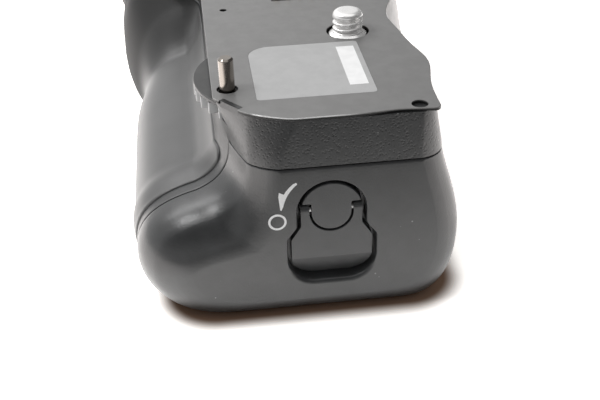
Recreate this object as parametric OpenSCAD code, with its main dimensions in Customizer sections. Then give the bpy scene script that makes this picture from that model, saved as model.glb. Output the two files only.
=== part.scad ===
// Vertical battery grip for a single-lens camera.
// +X is the battery-door end, -Y the front with the hand grip, +Z up.
// The origin lies on the axis of the mounting screw and the tripod socket, on the base plane.

/* [Overall] */
// Length from the shutter end to the battery-door end
body_l = 148; // [136:1:165]
// Distance from the mounting screw to the battery-door end
end_x = 38; // [36:0.5:44]
// Height of the camera seat above the base
seat_h = 44; // [43:0.5:50]
// Height of the seam between the end cap and the housing
seam_z = 33.5; // [32.5:0.5:35]
// Depth of the end cap, from the seam to the end face
cap_d = 13; // [12:0.5:16]

/* [Hand grip] */
// Reach of the hand grip in front of the screw axis
grip_reach = 47.1; // [45:0.1:52]
// How much the grip draws in at its waist
waist_depth = 1.9; // [0:0.1:4]
// Extra reach of the grip at the shutter end
far_gain = 4; // [0:0.2:6]
// Height of the finger ledge at the battery-door end
ledge_h = 23.3; // [22:0.1:26]
// How much the finger ledge rises towards the shutter end
ledge_rise = 8.5; // [0:0.5:9]
// Reach of the rear bulge behind the screw axis
rear_reach = 16.7; // [15:0.1:21]
// Thickness of the rubber coverings
rubber_t = 0.9; // [0.5:0.1:1.5]

/* [Camera seat] */
// Front edge of the seat, in front of the screw axis
seat_front = 29.4; // [28.4:0.1:32]
// Rear edge of the seat, behind the screw axis
seat_rear = 10.7; // [10:0.1:14]
// How far the seat widens forward at the shutter end
flare_front = 15; // [6:0.5:16]
// How far the seat widens backward at the shutter end
flare_rear = 5.6; // [3:0.2:7]
// Thickness of the seat plate
plate_t = 0.7; // [0.6:0.05:1]
// Overhang of the plate beyond the wall below it
plate_lip = 0.3; // [0:0.1:0.8]
// Length of the slanted front corner of the plate
corner_l = 10; // [6:0.5:12]
// Radius of the wall's front corner under the plate
corner_r = 7; // [6:0.5:11]

/* [Label] */
// Length of the rating label
label_l = 24.3; // [20:0.1:26]
// Width of the rating label
label_w = 22.7; // [18:0.1:24]
// Thickness of the rating label
label_t = 0.3; // [0.2:0.05:0.4]
// Distance from the label to the battery-door end
label_back = 8.2; // [6.5:0.1:9]

/* [Attachment] */
// Place of the wheel ahead of the screw, along the body
wheel_x = 14.9; // [14.4:0.1:15.4]
// Thickness of the wheel
wheel_t = 3.4; // [2.8:0.1:4]
// Teeth on the wheel's rim
wheel_teeth = 34; // [32:1:36]
// Teeth on the screw's gear
screw_teeth = 14; // [13:1:15]
// Tooth module of the wheel and the screw's gear
tooth_m = 0.924; // [0.91:0.002:0.936]
// Diameter of the mounting screw's thread
screw_d = 6.35; // [6:0.05:6.5]
// Height of the screw above the seat
screw_rise = 4.6; // [4:0.1:6]
// Place of the guide pin ahead of the screw
pin_x = 23.9; // [20:0.1:25]
// Place of the guide pin in front of the screw
pin_front = 26.8; // [26:0.1:27.2]
// Diameter of the guide pin
pin_d = 2.9; // [2:0.1:3.5]
// Height of the guide pin above the seat
pin_rise = 6.4; // [4:0.1:8]

/* [Battery holder] */
// Depth of the shutter end behind the battery chamber
far_wall = 11.55; // [11:0.05:16]
// Width of one battery pack
pack_w = 37; // [34:0.2:37.4]
// Thickness of one battery pack
pack_h = 15.5; // [13:0.1:16]
// Wall of the battery tray
tray_wall = 1.2; // [1:0.1:1.6]
// Height of the chamber floor above the base
chamber_z = 6.4; // [6:0.1:7]

/* [Latch] */
// Place of the latch in front of the screw axis
latch_front = 9.2; // [8.4:0.1:10]
// Height of the latch knob's axis
latch_z = 23.8; // [23:0.1:24.4]
// Radius of the latch knob
knob_r = 5.9; // [5.4:0.1:6.3]
// Reach of the flip tab below the knob's axis
tab_reach = 15.1; // [13.5:0.1:15.6]
// Width of the flip tab
tab_w = 15.7; // [14.5:0.1:17]
// Thickness of the flip tab
tab_t = 2.2; // [1.8:0.1:2.4]
// Gap between the latch and its recess
latch_gap = 0.95; // [0.6:0.05:1.2]

/* [Controls] */
// Height of the shutter button and the index dial
control_z = 20; // [19:0.2:21]
// Radius of the shutter button
button_r = 5; // [4.5:0.1:5.6]
// Travel of the shutter button
button_travel = 1.2; // [0.8:0.1:1.4]
// Radius of the index dial
dial_r = 5.6; // [5:0.1:6]
// Width of the index dial
dial_w = 8; // [6:0.2:9]
// Radius of a thumb button
thumb_r = 3.6; // [3:0.1:4]
// Distance between the two thumb buttons
thumb_pitch = 14; // [12:0.5:16]

/* [Fits] */
// Radial clearance of a turning or sliding fit
run_gap = 0.05; // [0.03:0.01:0.09]
// Clearance of the battery holder in its chamber
slide_gap = 0.35; // [0.3:0.05:0.6]
// Gap of a seam between casings
seam_gap = 0.3; // [0.2:0.05:0.4]

/* [Hidden] */
$fn = 64;
far_x = end_x - body_l;
cap_x = end_x - cap_d;
top_z = seat_h - plate_t;

// Rounding of the two ends
shoulder_r = 12;
ledge_r = 8;
base_r = 2.5;
base_near_r = 4.5;
rear_r = 6;
far_r = 14;

// Form of the hand grip along the body
waist_x = cap_x - 67;
waist_w = 10;
rise_l = 36;
ledge_x = waist_x + 7;
ledge_l = 21;
flare_x = far_x + 62;
flare_l = 26;
rear_flare_x = -3;
rear_flare_l = 34;
wall_in = 4.4;
wall_spread = 4.2;
wall_spread_x = end_x - 6;
wall_spread_l = 15;
wall_out = 1.9;
corner_slope = 0.62;
corner_tip_r = 8;
rear_corner_r = 4;
bulge_x = 17.5;
bulge_w = 8;
bulge_gain = 2.2;
ledge_in = 5.1;
toe_in = 13.5;
front_z = 11;
rear_z = 15;
heel_in = 9.6;
thumb_gain = 2.4;
rubber_near = cap_x - 3;

function smooth(t) = let (c = max(0, min(1, t))) c * c * (3 - 2 * c);
function bell(t) = exp(-t * t);
function arc_in(d, r) = let (u = max(0, min(r, d))) r - sqrt(r * r - u * u);
function near_in(x, r) = arc_in(x - (end_x - r), r);
function far_in(x, r) = arc_in(far_x + r - x, r);
function bezier(a, b, c, d, steps) = [for (i = [0 : steps - 1]) let (t = i / steps, s = 1 - t)
    s * s * s * a + 3 * s * s * t * b + 3 * s * t * t * c + t * t * t * d];
function reversed(list) = [for (i = [len(list) - 1 : -1 : 0]) list[i]];

// Edges of the body at one place along it, as distances from the screw axis plane
function front_flare(x) = flare_front * smooth((flare_x - x) / flare_l);
function front_reach(x) = grip_reach - waist_depth * bell((x - waist_x) / waist_w)
    + far_gain * smooth((waist_x - x) / rise_l) - near_in(x, shoulder_r) - far_in(x, far_r);
function corner_in(x) = corner_slope * max(0, x - end_x + corner_l) + near_in(x, corner_tip_r);
function seat_edge(x) = seat_front + front_flare(x) - corner_in(x) - far_in(x, far_r);
function wall_edge(x) = seat_front - wall_in
    + wall_spread * max(0, min(1, (wall_spread_x - x) / wall_spread_l))
    + (1 - wall_spread / flare_front) * front_flare(x) - near_in(x, corner_r) - far_in(x, far_r);
function ledge_edge(x) = seat_front + ledge_in + 0.6 * front_flare(x)
    - near_in(x, shoulder_r) - far_in(x, far_r);
function ledge_top(x) = ledge_h + ledge_rise * smooth((ledge_x - x) / ledge_l)
    - near_in(x, ledge_r) - far_in(x, base_r);
function rear_flare(x) = flare_rear * smooth((rear_flare_x - x) / rear_flare_l);
function seat_back(x) = seat_rear + bulge_gain * bell((x - bulge_x) / bulge_w) + rear_flare(x)
    - near_in(x, rear_corner_r / 2) - far_in(x, far_r);
function wall_back(x) = seat_rear + wall_out + rear_flare(x) - near_in(x, rear_corner_r) - far_in(x, far_r);
function rear_edge(x) = rear_reach + 0.6 * rear_flare(x)
    + thumb_gain * bell((x - far_x - 30) / 18) - near_in(x, rear_r) - far_in(x, far_r);
function base_edge(x) = near_in(x, base_near_r) + far_in(x, base_r);

// Front and rear outlines of the body at one place, below the seam, as [y, z] points
front_steps = 6;
function front_side(x) = let (f = front_reach(x), b = base_edge(x), l = ledge_edge(x), t = ledge_top(x),
        w = wall_edge(x), toe = f - toe_in)
    concat(
        bezier([-toe, b], [-toe - 0.58 * toe_in, b], [-f, b + 0.36 * (front_z - b)], [-f, front_z],
            front_steps),
        bezier([-f, front_z], [-f, front_z + 0.6 * (t - front_z)],
            [-l - 0.5 * (f - l), t - 0.13 * (f - l)], [-l, t], front_steps),
        bezier([-l, t], [-l + 0.55 * (l - w), t + 0.15 * (seam_z - t)],
            [-w, seam_z - 0.62 * (seam_z - t)], [-w, seam_z], front_steps),
        [[-w, seam_z]]);
function rear_side(x) = let (r = rear_edge(x), b = base_edge(x), w = wall_back(x))
    concat(
        bezier([w, seam_z], [w + 1, seam_z - 5], [r, rear_z + 7], [r, rear_z], front_steps),
        bezier([r, rear_z], [r, b + 0.33 * (rear_z - b)], [r - 0.4 * heel_in, b], [r - heel_in, b],
            front_steps),
        [[r - heel_in, b]]);
function whole_section(x) = concat(front_side(x), [[-seat_edge(x), top_z], [seat_back(x), top_z]],
    rear_side(x));
function cap_section(x) = concat(front_side(x), rear_side(x));
section_core = [-latch_front, front_z + 1];

// Places along the body where the sections stand
end_steps = 6;
mid_steps = 14;
far_places = [for (i = [0 : end_steps]) far_x + far_r * (1 - cos(i * 90 / end_steps))];
mid_places = [for (i = [1 : mid_steps]) far_x + far_r + i * (rubber_near - far_x - far_r) / mid_steps];
near_places = [for (i = [0 : end_steps]) end_x - shoulder_r * (1 - sin(i * 90 / end_steps))];
body_places = concat(far_places, mid_places, [cap_x], near_places);
cap_places = concat([cap_x + seam_gap / 2], near_places);

// Solid through closed sections of equal point count, from low x to high x. A full section is closed
// around a core point inside it, and a strip between its outer and its inner line. A strip's inner faces
// are split along the same diagonals as the faces of the body that it lies on
module loft(places, sections, core) {
    n = len(sections[0]);
    rows = len(places);
    top = (rows - 1) * n;
    points = [for (i = [0 : rows - 1]) for (p = sections[i]) [places[i], p[0], p[1]]];
    sides = [for (i = [0 : rows - 2]) for (j = [0 : n - 1])
        let (k = (j + 1) % n, a = i * n + j, b = i * n + k, c = a + n, d = b + n)
        each is_undef(core) && j >= n / 2 ? [[a, b, c], [b, d, c]] : [[a, b, d], [a, d, c]]];
    if (is_undef(core))
        polyhedron(points, concat(sides, [for (i = [0 : n / 2 - 2]) let (j = n - 1 - i)
            each [[i, j - 1, i + 1], [i, j, j - 1],
                [top + i, top + i + 1, top + j - 1], [top + i, top + j - 1, top + j]]]), convexity = 6);
    else
        polyhedron(concat(points, [for (x = [places[0], places[rows - 1]]) [x, core[0], core[1]]]),
            concat(sides, [for (j = [0 : n - 1]) let (k = (j + 1) % n)
                each [[top + n, k, j], [top + n + 1, top + j, top + k]]]), convexity = 6);
}

// Strip of covering laid on part of an outline: outer points, then the inner ones back
function side_normal(line, i) = let (a = line[max(0, i - 1)], b = line[min(len(line) - 1, i + 1)],
        d = (b - a) / norm(b - a)) [-d[1], d[0]];
function covering(line, t) = concat(
    [for (i = [0 : len(line) - 1]) line[i] + t * side_normal(line, i)], reversed(line));
function part_of(line, first, last) = [for (i = [first : last]) line[i]];

// Block with sharp edges between two corners
module block(low, high) {
    translate(low) cube(high - low);
}
// Rectangle with round corners, centred
module round_rect(w, h, r) {
    square([w - 2 * r, h], center = true);
    square([w, h - 2 * r], center = true);
    for (sx = [-1, 1])
        for (sy = [-1, 1])
            translate([sx * (w / 2 - r), sy * (h / 2 - r)]) circle(r);
}

// Battery chamber and tray
pack_gap = 0.3;
rib_t = 1.5;
bolt_room = 5.6;
chamber_y = 1.4 - latch_front;
tray_w = pack_w + 2 * (tray_wall + pack_gap);
tray_z = chamber_z + slide_gap;
pack_z = tray_z + tray_wall;
tray_top = pack_z + pack_h * 0.6;
contact_t = 2;
chamber_end = far_x + far_wall;
tray_end = chamber_end + contact_t + slide_gap;
pack_x1 = cap_x - bolt_room - tray_wall - pack_gap;
pack_l = (pack_x1 - tray_end - tray_wall - rib_t - 3 * pack_gap) / 2;
pack_x2 = pack_x1 - pack_l - rib_t - 2 * pack_gap;
chamber_w = tray_w + 2 * slide_gap;
chamber_top = pack_z + pack_h + 1.2;

// Attachment gears: the wheel's finger teeth mesh with the gear on the mounting screw
wheel_play = 0.9;
rim_t = 0.8;
rim_lip = 0.1;
rim_gap = 0.2;
gear_top = top_z - wheel_play;
gear_low = gear_top - wheel_t;
gear_floor = gear_low - 0.5;
screw_gear_t = wheel_t - rim_t - rim_gap;
backlash = 0.12;
pressure = 25;
function pitch_r(teeth) = teeth * tooth_m / 2;
function tip_r(teeth) = pitch_r(teeth) + tooth_m;
wheel_span = pitch_r(wheel_teeth) + pitch_r(screw_teeth);
wheel_at = [wheel_x, -sqrt(wheel_span * wheel_span - wheel_x * wheel_x)];
to_screw = atan2(-wheel_at[1], -wheel_at[0]);
screw_turn = to_screw + 180 + 180 / screw_teeth;

function involute(r, base) = let (a = acos(min(1, base / r))) tan(a) * 180 / PI - a;
function flank(r, p, base, half) = half + involute(p, base) - involute(max(r, base), base);
// Outline of a spur gear with a tooth on its +X side
function gear_points(teeth) = let (p = pitch_r(teeth), base = p * cos(pressure), root = p - 1.25 * tooth_m,
        tip = tip_r(teeth), half = 90 / teeth - backlash / p * 90 / PI,
        radii = [for (i = [0 : 4]) root + (tip - root) * i / 4])
    [for (k = [0 : teeth - 1]) each concat(
        [for (r = radii) let (a = k * 360 / teeth - flank(r, p, base, half)) r * [cos(a), sin(a)]],
        [for (r = reversed(radii)) let (a = k * 360 / teeth + flank(r, p, base, half))
            r * [cos(a), sin(a)]])];

axle_r = 2;
axle_depth = 4;
screw_r = screw_d / 2;
hub_r = 3;
journal_r = 2.4;
collar_r = 4;
collar_drop = 0.4;
pin_step_w = 0.2;
bush_r = 4.6;
bush_h = 6;
screw_hole_r = collar_r + 0.5;

// Controls at the shutter end
shutter_turn = 220;
shutter_at = [far_x + far_r, -(grip_reach + far_gain - far_r), control_z];
seat_t = far_r - 2.6;
ring_r = button_r + 3.6;
boss_r = ring_r + 1.6;
collar_out = button_r + 1.5;
collar_low = seat_t - 4;
collar_lip = 0.8;
lip_reach = 0.9;
lock_t = 2;
button_rise = 0.8;
dial_at = [far_x + 3.8, -18];
dial_axle_r = 1.2;
thumb_back = 24;
thumb_z = 30.2;
thumb_rise = 1.6;
thumb_at = [far_x + thumb_back, thumb_z];
thumb_face = wall_back(thumb_at[0]) + thumb_rise;
thumb_flange = 0.8;
thumb_room = 0.3;
button_foot = 1.2;
press_rest = 0.2;
shutter_switch_h = 1.4;
switch_room = button_foot + button_travel + press_rest + shutter_switch_h;

// Circuit board and contact block
board_z = gear_floor - 3;
board_t = 1.2;
board_w = 26;
board_y = -5.9;
ledge_w = 2;
pocket_far = far_x + 22;
pocket_near = -18.5;
pocket_z = chamber_top + 3;
block_x = pocket_near - 5.5;
block_l = 8;
block_w = 16;
contact_pins = 6;
contact_rise = 0.8;

// Base
base_t = 1.6;
base_corner = 4;
base_gap = 0.1;
screw_grip = 2;
base_l = 108;
base_w = 38;
base_x = cap_x - 59;
base_margin = 1.8;
socket_r = 5.2;
base_y = socket_r + base_margin - base_w / 2;
socket_h = 5.2;
socket_bore_r = 2.6;
screw_in_x = 6;
screw_in_y = 5;
base_screws_at = [for (sx = [-1, 1]) for (sy = [-1, 1])
    [base_x + sx * (base_l / 2 - screw_in_x), base_y + sy * (base_w / 2 - screw_in_y)]];
screw_head_r = 1.9;
screw_head_h = 1.2;
shank_r = 1;

// Latch, drawn in the plane of the end face with its origin on the knob's axis
latch_face = end_x - 0.5;
tab_low = latch_face - tab_t;
recess_x = tab_low - 0.4;
hinge_x = tab_low + tab_t / 2;
knob_base = 2.4;
disc_r = knob_r * 0.65;
disc_gap = 0.4;
hinge_pin_r = 0.6;
tab_corner_r = 4.6;
bolt_r = 2.5;
bolt_t = 2;
bolt_x = cap_x - bolt_room + 0.9;
bolt_reach = bolt_r + 2;
bolt_w = 4;
bolt_gap = 0.5;
flange_t = 1.5;
cap_screw_y = 13.5;
cap_screw_up = 5;
cap_screw_z = tray_z + cap_screw_up;

// Turns a drawing into the plane of the end face: its x becomes y, its y becomes z, its z becomes x
module in_end_plane(x) {
    translate([x, -latch_front, latch_z]) rotate([90, 0, 90]) children();
}
// Lays a shape along the shutter button's axis
module on_shutter_axis() {
    translate(shutter_at) rotate([0, 90, shutter_turn]) children();
}
// Lays a shape along a thumb button's axis, pointing backward
module on_thumb_axis(i) {
    translate([thumb_at[0] + i * thumb_pitch, 0, thumb_at[1]]) rotate([-90, 0, 0]) children();
}

module housing() {
    color("#2c2c2e") difference() {
        union() {
            loft(body_places, [for (x = body_places) whole_section(x)], section_core);
            on_shutter_axis() cylinder(r = boss_r, h = seat_t + 0.8);
            translate([0, 0, top_z - rib_root]) linear_extrude(rib_root + plate_t) corner_rib(0);
        }
        block([cap_x, -100, -1], [end_x + 1, 100, seam_z + seam_gap]);
        block([chamber_end, chamber_y - chamber_w / 2, chamber_z],
            [cap_x + 1, chamber_y + chamber_w / 2, chamber_top]);
        block([bolt_x - 1, -latch_front - bolt_r - bolt_gap, chamber_top - 1],
            [cap_x + 1, bolt_r + bolt_gap - latch_front, latch_z + bolt_reach + bolt_gap]);
        far_hole(top_z - 1, 2);
        gear_pocket();
        board_pocket();
        base_pocket();
        control_pockets();
    }
}
module at_wheel(z) {
    translate([wheel_at[0], wheel_at[1], z]) children();
}
// Two small blind holes: the near one ends under the plate, the far one goes on into the housing
near_hole_at = [end_x - 2, seat_rear - 3.4];
near_hole_r = 1.55;
far_hole_at = [end_x - 54.4, 4.2 - seat_front];
far_hole_r = 0.8;
module near_hole(z, h) {
    translate([near_hole_at[0], near_hole_at[1], z]) cylinder(r = near_hole_r, h = h);
}
module far_hole(z, h) {
    translate([far_hole_at[0], far_hole_at[1], z]) cylinder(r = far_hole_r, h = h);
}
// Rib of the housing's wall that keys into a notch of the plate's slanted front corner
rib_l = 6;
rib_w = 0.95;
rib_root = 0.6;
rib_gap = 0.2;
rib_far = end_x - corner_l + 0.6;
module corner_rib(gap) {
    out = gap > 0 ? 2 : 0;
    translate([rib_far, -seat_edge(rib_far)]) rotate(atan(corner_slope))
        translate([-gap, -out]) square([rib_l + 2 * gap, rib_w + out + gap]);
}
gear_room = 0.4;
module gear_pocket() {
    translate([0, 0, gear_floor]) linear_extrude(top_z) {
        translate(wheel_at) circle(tip_r(wheel_teeth) + gear_room);
        circle(tip_r(screw_teeth) + gear_room);
    }
    translate([0, 0, gear_floor - bush_h]) cylinder(r = bush_r, h = bush_h + 1);
    at_wheel(gear_floor - axle_depth) cylinder(r = axle_r, h = axle_depth + 1);
}
module board_pocket() {
    block([pocket_far, board_y - board_w / 2 - 0.2, board_z],
        [pocket_near, board_y + board_w / 2 + 0.2, seat_h]);
    block([pocket_far + ledge_w, board_y - board_w / 2 + ledge_w, pocket_z],
        [pocket_near - ledge_w, board_y + board_w / 2 - ledge_w, board_z + 1]);
}
module base_pocket() {
    translate([base_x, base_y, -1]) linear_extrude(base_t + 1) round_rect(base_l, base_w, base_corner);
    translate([0, 0, -1]) cylinder(r = socket_r, h = socket_h + 1);
    for (p = base_screws_at)
        translate([p[0], p[1], -1]) cylinder(r = shank_r, h = base_t + 2 * screw_grip);
}
module at_dial(below) {
    translate([dial_at[0], dial_at[1], control_z - below]) children();
}
module control_pockets() {
    on_shutter_axis() {
        translate([0, 0, seat_t]) cylinder(r = ring_r + 0.4, h = far_r);
        translate([0, 0, collar_low]) cylinder(r = collar_out, h = far_r);
        translate([0, 0, collar_low - switch_room]) cylinder(r = button_r + 1, h = far_r);
    }
    at_dial(dial_w / 2 + 0.4) cylinder(r = dial_r + 0.4, h = dial_w + 0.8);
    at_dial(dial_w / 2 + 3) cylinder(r = dial_axle_r, h = dial_w + 6);
    for (i = [0, 1])
        on_thumb_axis(i) {
            cylinder(r = thumb_r + run_gap, h = thumb_face + 1);
            cylinder(r = thumb_r + thumb_flange + thumb_room, h = thumb_face - 4);
        }
}

module top_plate() {
    places = concat(far_places, mid_places,
        [for (i = [0 : end_steps]) end_x - corner_l * (1 - sin(i * 90 / end_steps))]);
    color("#3a3a3b") difference() {
        translate([0, 0, top_z]) linear_extrude(plate_t) polygon(concat(
            [for (x = places) [x, -seat_edge(x) - plate_lip]],
            [for (x = reversed(places)) [x, seat_back(x) + plate_lip]]));
        translate([0, 0, top_z - 1]) cylinder(r = screw_hole_r, h = plate_t + 2);
        translate([pin_x, -pin_front, top_z - 1]) cylinder(d = pin_d + 2 * pin_step_w, h = plate_t + 2);
        translate([pin_x, -pin_front, seat_h - 0.4]) cylinder(d = pin_d + 1.2, h = 1);
        near_hole(top_z - 1, plate_t + 2);
        far_hole(top_z - 1, plate_t + 2);
        translate([0, 0, top_z - 1]) linear_extrude(plate_t + 2) corner_rib(rib_gap);
        translate([0, 0, seat_h - label_t]) linear_extrude(1) label_shape(0);
        block([block_x - block_l / 2 - 0.2, board_y - block_w / 2 - 0.2, top_z - 1],
            [block_x + block_l / 2 + 0.2, board_y + block_w / 2 + 0.2, seat_h + 1]);
    }
}
// Label with three small corners and a large one at its front far corner
label_small_r = 0.8;
label_big_r = 4.5;
label_near = end_x - label_back;
label_y0 = 0.9 - label_w;
module label_shape(shrink) {
    translate([label_near - label_l + shrink, label_y0 + shrink]) {
        w = label_l - 2 * shrink;
        h = label_w - 2 * shrink;
        translate([w - label_small_r, label_small_r]) circle(label_small_r);
        translate([w - label_small_r, h - label_small_r]) circle(label_small_r);
        translate([label_small_r, h - label_small_r]) circle(label_small_r);
        translate([label_big_r, label_big_r]) circle(label_big_r);
        translate([label_big_r, 0]) square([w - label_big_r - label_small_r, h]);
        translate([0, label_big_r]) square([label_big_r, h - label_big_r - label_small_r]);
        translate([label_small_r, h / 2]) square([label_big_r, h / 2]);
        translate([w - 2 * label_small_r, label_small_r])
            square([2 * label_small_r, h - 2 * label_small_r]);
    }
}
strip_l = 18;
strip_w = 3.6;
strip_t = 0.15;
strip_in = 3.8;
strip_side = 1.1;
module strip_box(z0, z1) {
    block([label_near - strip_in - strip_l, label_y0 + label_w - strip_side - strip_w, z0],
        [label_near - strip_in, label_y0 + label_w - strip_side, z1]);
}
module rating_label() {
    color("#b9bbbd") difference() {
        translate([0, 0, seat_h - label_t]) linear_extrude(label_t) label_shape(0.05);
        strip_box(seat_h - strip_t, seat_h + 1);
    }
}
module serial_strip() {
    color("white") strip_box(seat_h - strip_t, seat_h);
}

rubber_first = 3;
module grip_rubber() {
    last = 3 * front_steps - 1;
    places = mid_places;
    color("#4a4a4b") loft(places, [for (x = places)
        covering(part_of(front_side(x), rubber_first, last), rubber_t)]);
}
module thumb_rubber() {
    places = part_of(mid_places, 0, 4);
    color("#4a4a4b") loft(places, [for (x = places)
        covering(part_of(rear_side(x), 4, 2 * front_steps - 3), rubber_t)]);
}

module base_cover() {
    color("#2a2a2b") difference() {
        translate([base_x, base_y, 0]) linear_extrude(base_t)
            round_rect(base_l - 2 * base_gap, base_w - 2 * base_gap, base_corner - base_gap);
        translate([0, 0, -base_t]) cylinder(r = socket_r + base_gap / 2, h = 3 * base_t);
        for (p = base_screws_at) {
            translate([p[0], p[1], -base_t]) cylinder(r = shank_r + 2 * base_gap, h = 3 * base_t);
            translate([p[0], p[1], -base_t])
                cylinder(r = screw_head_r + 2 * base_gap, h = screw_head_h + base_t);
        }
    }
}
module base_screws() {
    color("#8a8a8c") for (p = base_screws_at)
        translate([p[0], p[1], 0.2]) {
            cylinder(r = screw_head_r, h = screw_head_h - 0.2);
            cylinder(r = shank_r, h = base_t + screw_grip);
        }
}
module tripod_socket() {
    color("#b0a58e") difference() {
        cylinder(r = socket_r, h = socket_h);
        translate([0, 0, -1]) cylinder(r = socket_bore_r, h = socket_h + 2);
    }
}

module guide_pin() {
    tip = 0.4;
    foot = 0.5;
    shank_d = pin_d + 2 * pin_step_w;
    color("#c2a98c") translate([pin_x, -pin_front, top_z]) {
        translate([0, 0, -foot]) cylinder(d = shank_d + 1.4, h = foot);
        translate([0, 0, -foot]) cylinder(d = shank_d, h = foot + plate_t);
        cylinder(d = pin_d, h = plate_t + pin_rise - tip);
        translate([0, 0, plate_t + pin_rise - tip]) cylinder(d1 = pin_d, d2 = pin_d - 2 * tip, h = tip);
    }
}

module attachment_wheel() {
    color("#3b3b3d") difference() {
        union() {
            at_wheel(gear_low) rotate(to_screw) linear_extrude(wheel_t - rim_t / 2)
                polygon(gear_points(wheel_teeth));
            at_wheel(gear_top - rim_t) cylinder(r = tip_r(wheel_teeth) + rim_lip, h = rim_t);
        }
        at_wheel(gear_low - 1) cylinder(r = axle_r + run_gap, h = wheel_t + 2);
    }
}
module wheel_axle() {
    color("#9a9a9c") at_wheel(gear_floor - axle_depth)
        cylinder(r = axle_r, h = top_z - gear_floor + axle_depth);
}
module mounting_screw() {
    tip = seat_h + screw_rise;
    dome = 1.2;
    color("#d0d0d2") rotate_extrude() polygon(concat(
        [[0, gear_floor - bush_h + 0.3], [journal_r, gear_floor - bush_h + 0.3], [journal_r, gear_low],
            [hub_r, gear_low], [hub_r, gear_low + screw_gear_t], [collar_r, gear_low + screw_gear_t],
            [collar_r, seat_h - collar_drop], [screw_r, seat_h]],
        [for (a = [0 : 15 : 90]) [screw_r - dome + dome * cos(a), tip - dome + dome * sin(a)]],
        [[0, tip]]));
}
module screw_gear() {
    color("#c7b27c") difference() {
        translate([0, 0, gear_low]) rotate(screw_turn) linear_extrude(screw_gear_t)
            polygon(gear_points(screw_teeth));
        translate([0, 0, gear_low - 1]) cylinder(r = hub_r, h = wheel_t + 2);
    }
}
module screw_bushing() {
    color("#b89a5a") translate([0, 0, gear_floor - bush_h]) difference() {
        cylinder(r = bush_r, h = bush_h);
        translate([0, 0, -1]) cylinder(r = journal_r + run_gap, h = bush_h + 2);
    }
}

module circuit_board() {
    color("#1f5a36") block([pocket_far + 0.2, board_y - board_w / 2, board_z],
        [pocket_near - 0.2, board_y + board_w / 2, board_z + board_t]);
}
module pin_places() {
    pitch = block_w / contact_pins;
    for (row = [-1, 1])
        for (i = [0 : contact_pins - 1])
            translate([block_x + row * block_l / 4, board_y + (i - (contact_pins - 1) / 2) * pitch, 0])
                children();
}
pin_r = 0.55;
pin_flange = 0.35;
pin_neck = 3;
pin_step = top_z - pin_neck;
pin_low = pin_step - 3 * pin_flange;
module contact_block() {
    color("#161617") difference() {
        block([block_x - block_l / 2, board_y - block_w / 2, board_z + board_t],
            [block_x + block_l / 2, board_y + block_w / 2, seat_h]);
        pin_places() {
            translate([0, 0, pin_step]) cylinder(r = pin_r + run_gap, h = 10);
            translate([0, 0, board_z]) cylinder(r = pin_r + pin_flange + run_gap, h = pin_step - board_z);
        }
    }
}
module signal_pins() {
    color("#d9b65c") pin_places() {
        translate([0, 0, pin_low]) cylinder(r = pin_r, h = seat_h + contact_rise - pin_low);
        translate([0, 0, pin_low]) cylinder(r = pin_r + pin_flange, h = 1);
    }
}

contact_pitch = 4.5;
contact_z = 4;
contact_h = 10;
carrier_w = 20;
spring_w = 2;
spring_t = 0.8;
spring_in = 1;
module chamber_contacts() {
    spring_x = chamber_end + contact_t - spring_t;
    low = chamber_z + contact_z;
    color("#c8a24e") {
        block([chamber_end, chamber_y - carrier_w / 2, low],
            [spring_x, chamber_y + carrier_w / 2, low + contact_h]);
        for (i = [-1.5 : 1 : 1.5])
            block([spring_x, chamber_y + i * contact_pitch - spring_w / 2, low + spring_in],
                [spring_x + spring_t, chamber_y + i * contact_pitch + spring_w / 2,
                    low + contact_h - spring_in]);
    }
}

// Latch outline, grown by a gap: the knob's arch, a neck and the wide round-cornered tab
function latch_half(g) = concat(
    [for (a = [90 : -10 : 0]) (knob_r + g) * [cos(a), sin(a)]],
    [[knob_r + g, -3.2], [tab_w / 2 + g, -6.2 + 0.4 * g]],
    [for (a = [0 : -15 : -90]) [tab_w / 2 - tab_corner_r, tab_corner_r - tab_reach]
        + (tab_corner_r + g) * [cos(a), sin(a)]]);
module latch_outline(g) {
    half = latch_half(g);
    polygon(concat(half, [for (p = reversed(half)) [-p[0], p[1]]]));
}
notch_v = tab_t / 2 + 0.5;

module end_cap() {
    color("#2f2f31") difference() {
        loft(cap_places, [for (x = cap_places) cap_section(x)], section_core);
        in_end_plane(recess_x) linear_extrude(10) latch_outline(latch_gap);
        in_end_plane(recess_x - knob_base) cylinder(r = knob_r + 0.2, h = 10);
        in_end_plane(cap_x - 1) cylinder(r = bolt_r + run_gap, h = cap_d);
        for (s = [-1, 1])
            translate([cap_x - 1, chamber_y + s * cap_screw_y, cap_screw_z]) rotate([0, 90, 0])
                cylinder(r = shank_r, h = 8);
    }
}
module battery_tray() {
    back = cap_x + seam_gap / 2;
    y0 = chamber_y - tray_w / 2;
    y1 = chamber_y + tray_w / 2;
    color("#38383a") difference() {
        block([tray_end, y0, tray_z], [back, y1, tray_top]);
        for (x = [pack_x1, pack_x2])
            block([x - pack_l - pack_gap, y0 + tray_wall, pack_z],
                [x + pack_gap, y1 - tray_wall, tray_top + 1]);
        block([pack_x1 + pack_gap + tray_wall, y0 - 1, tray_z + tray_wall],
            [back - flange_t, y1 + 1, tray_top + 1]);
        for (s = [-1, 1])
            translate([cap_x - 6, chamber_y + s * cap_screw_y, cap_screw_z]) rotate([0, 90, 0])
                cylinder(r = shank_r + 0.2, h = 10);
    }
}
module battery_pack(x) {
    color("#5b5c5f") translate([x - pack_l, chamber_y, pack_z + pack_h / 2]) rotate([90, 0, 90])
        linear_extrude(pack_l) round_rect(pack_w, pack_h, 2);
}
module battery_pack_1() {
    battery_pack(pack_x1);
}
module battery_pack_2() {
    battery_pack(pack_x2);
}
terminal_t = 0.25;
terminal_w = 2.8;
terminal_h = 6;
terminal_up = 2;
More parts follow.
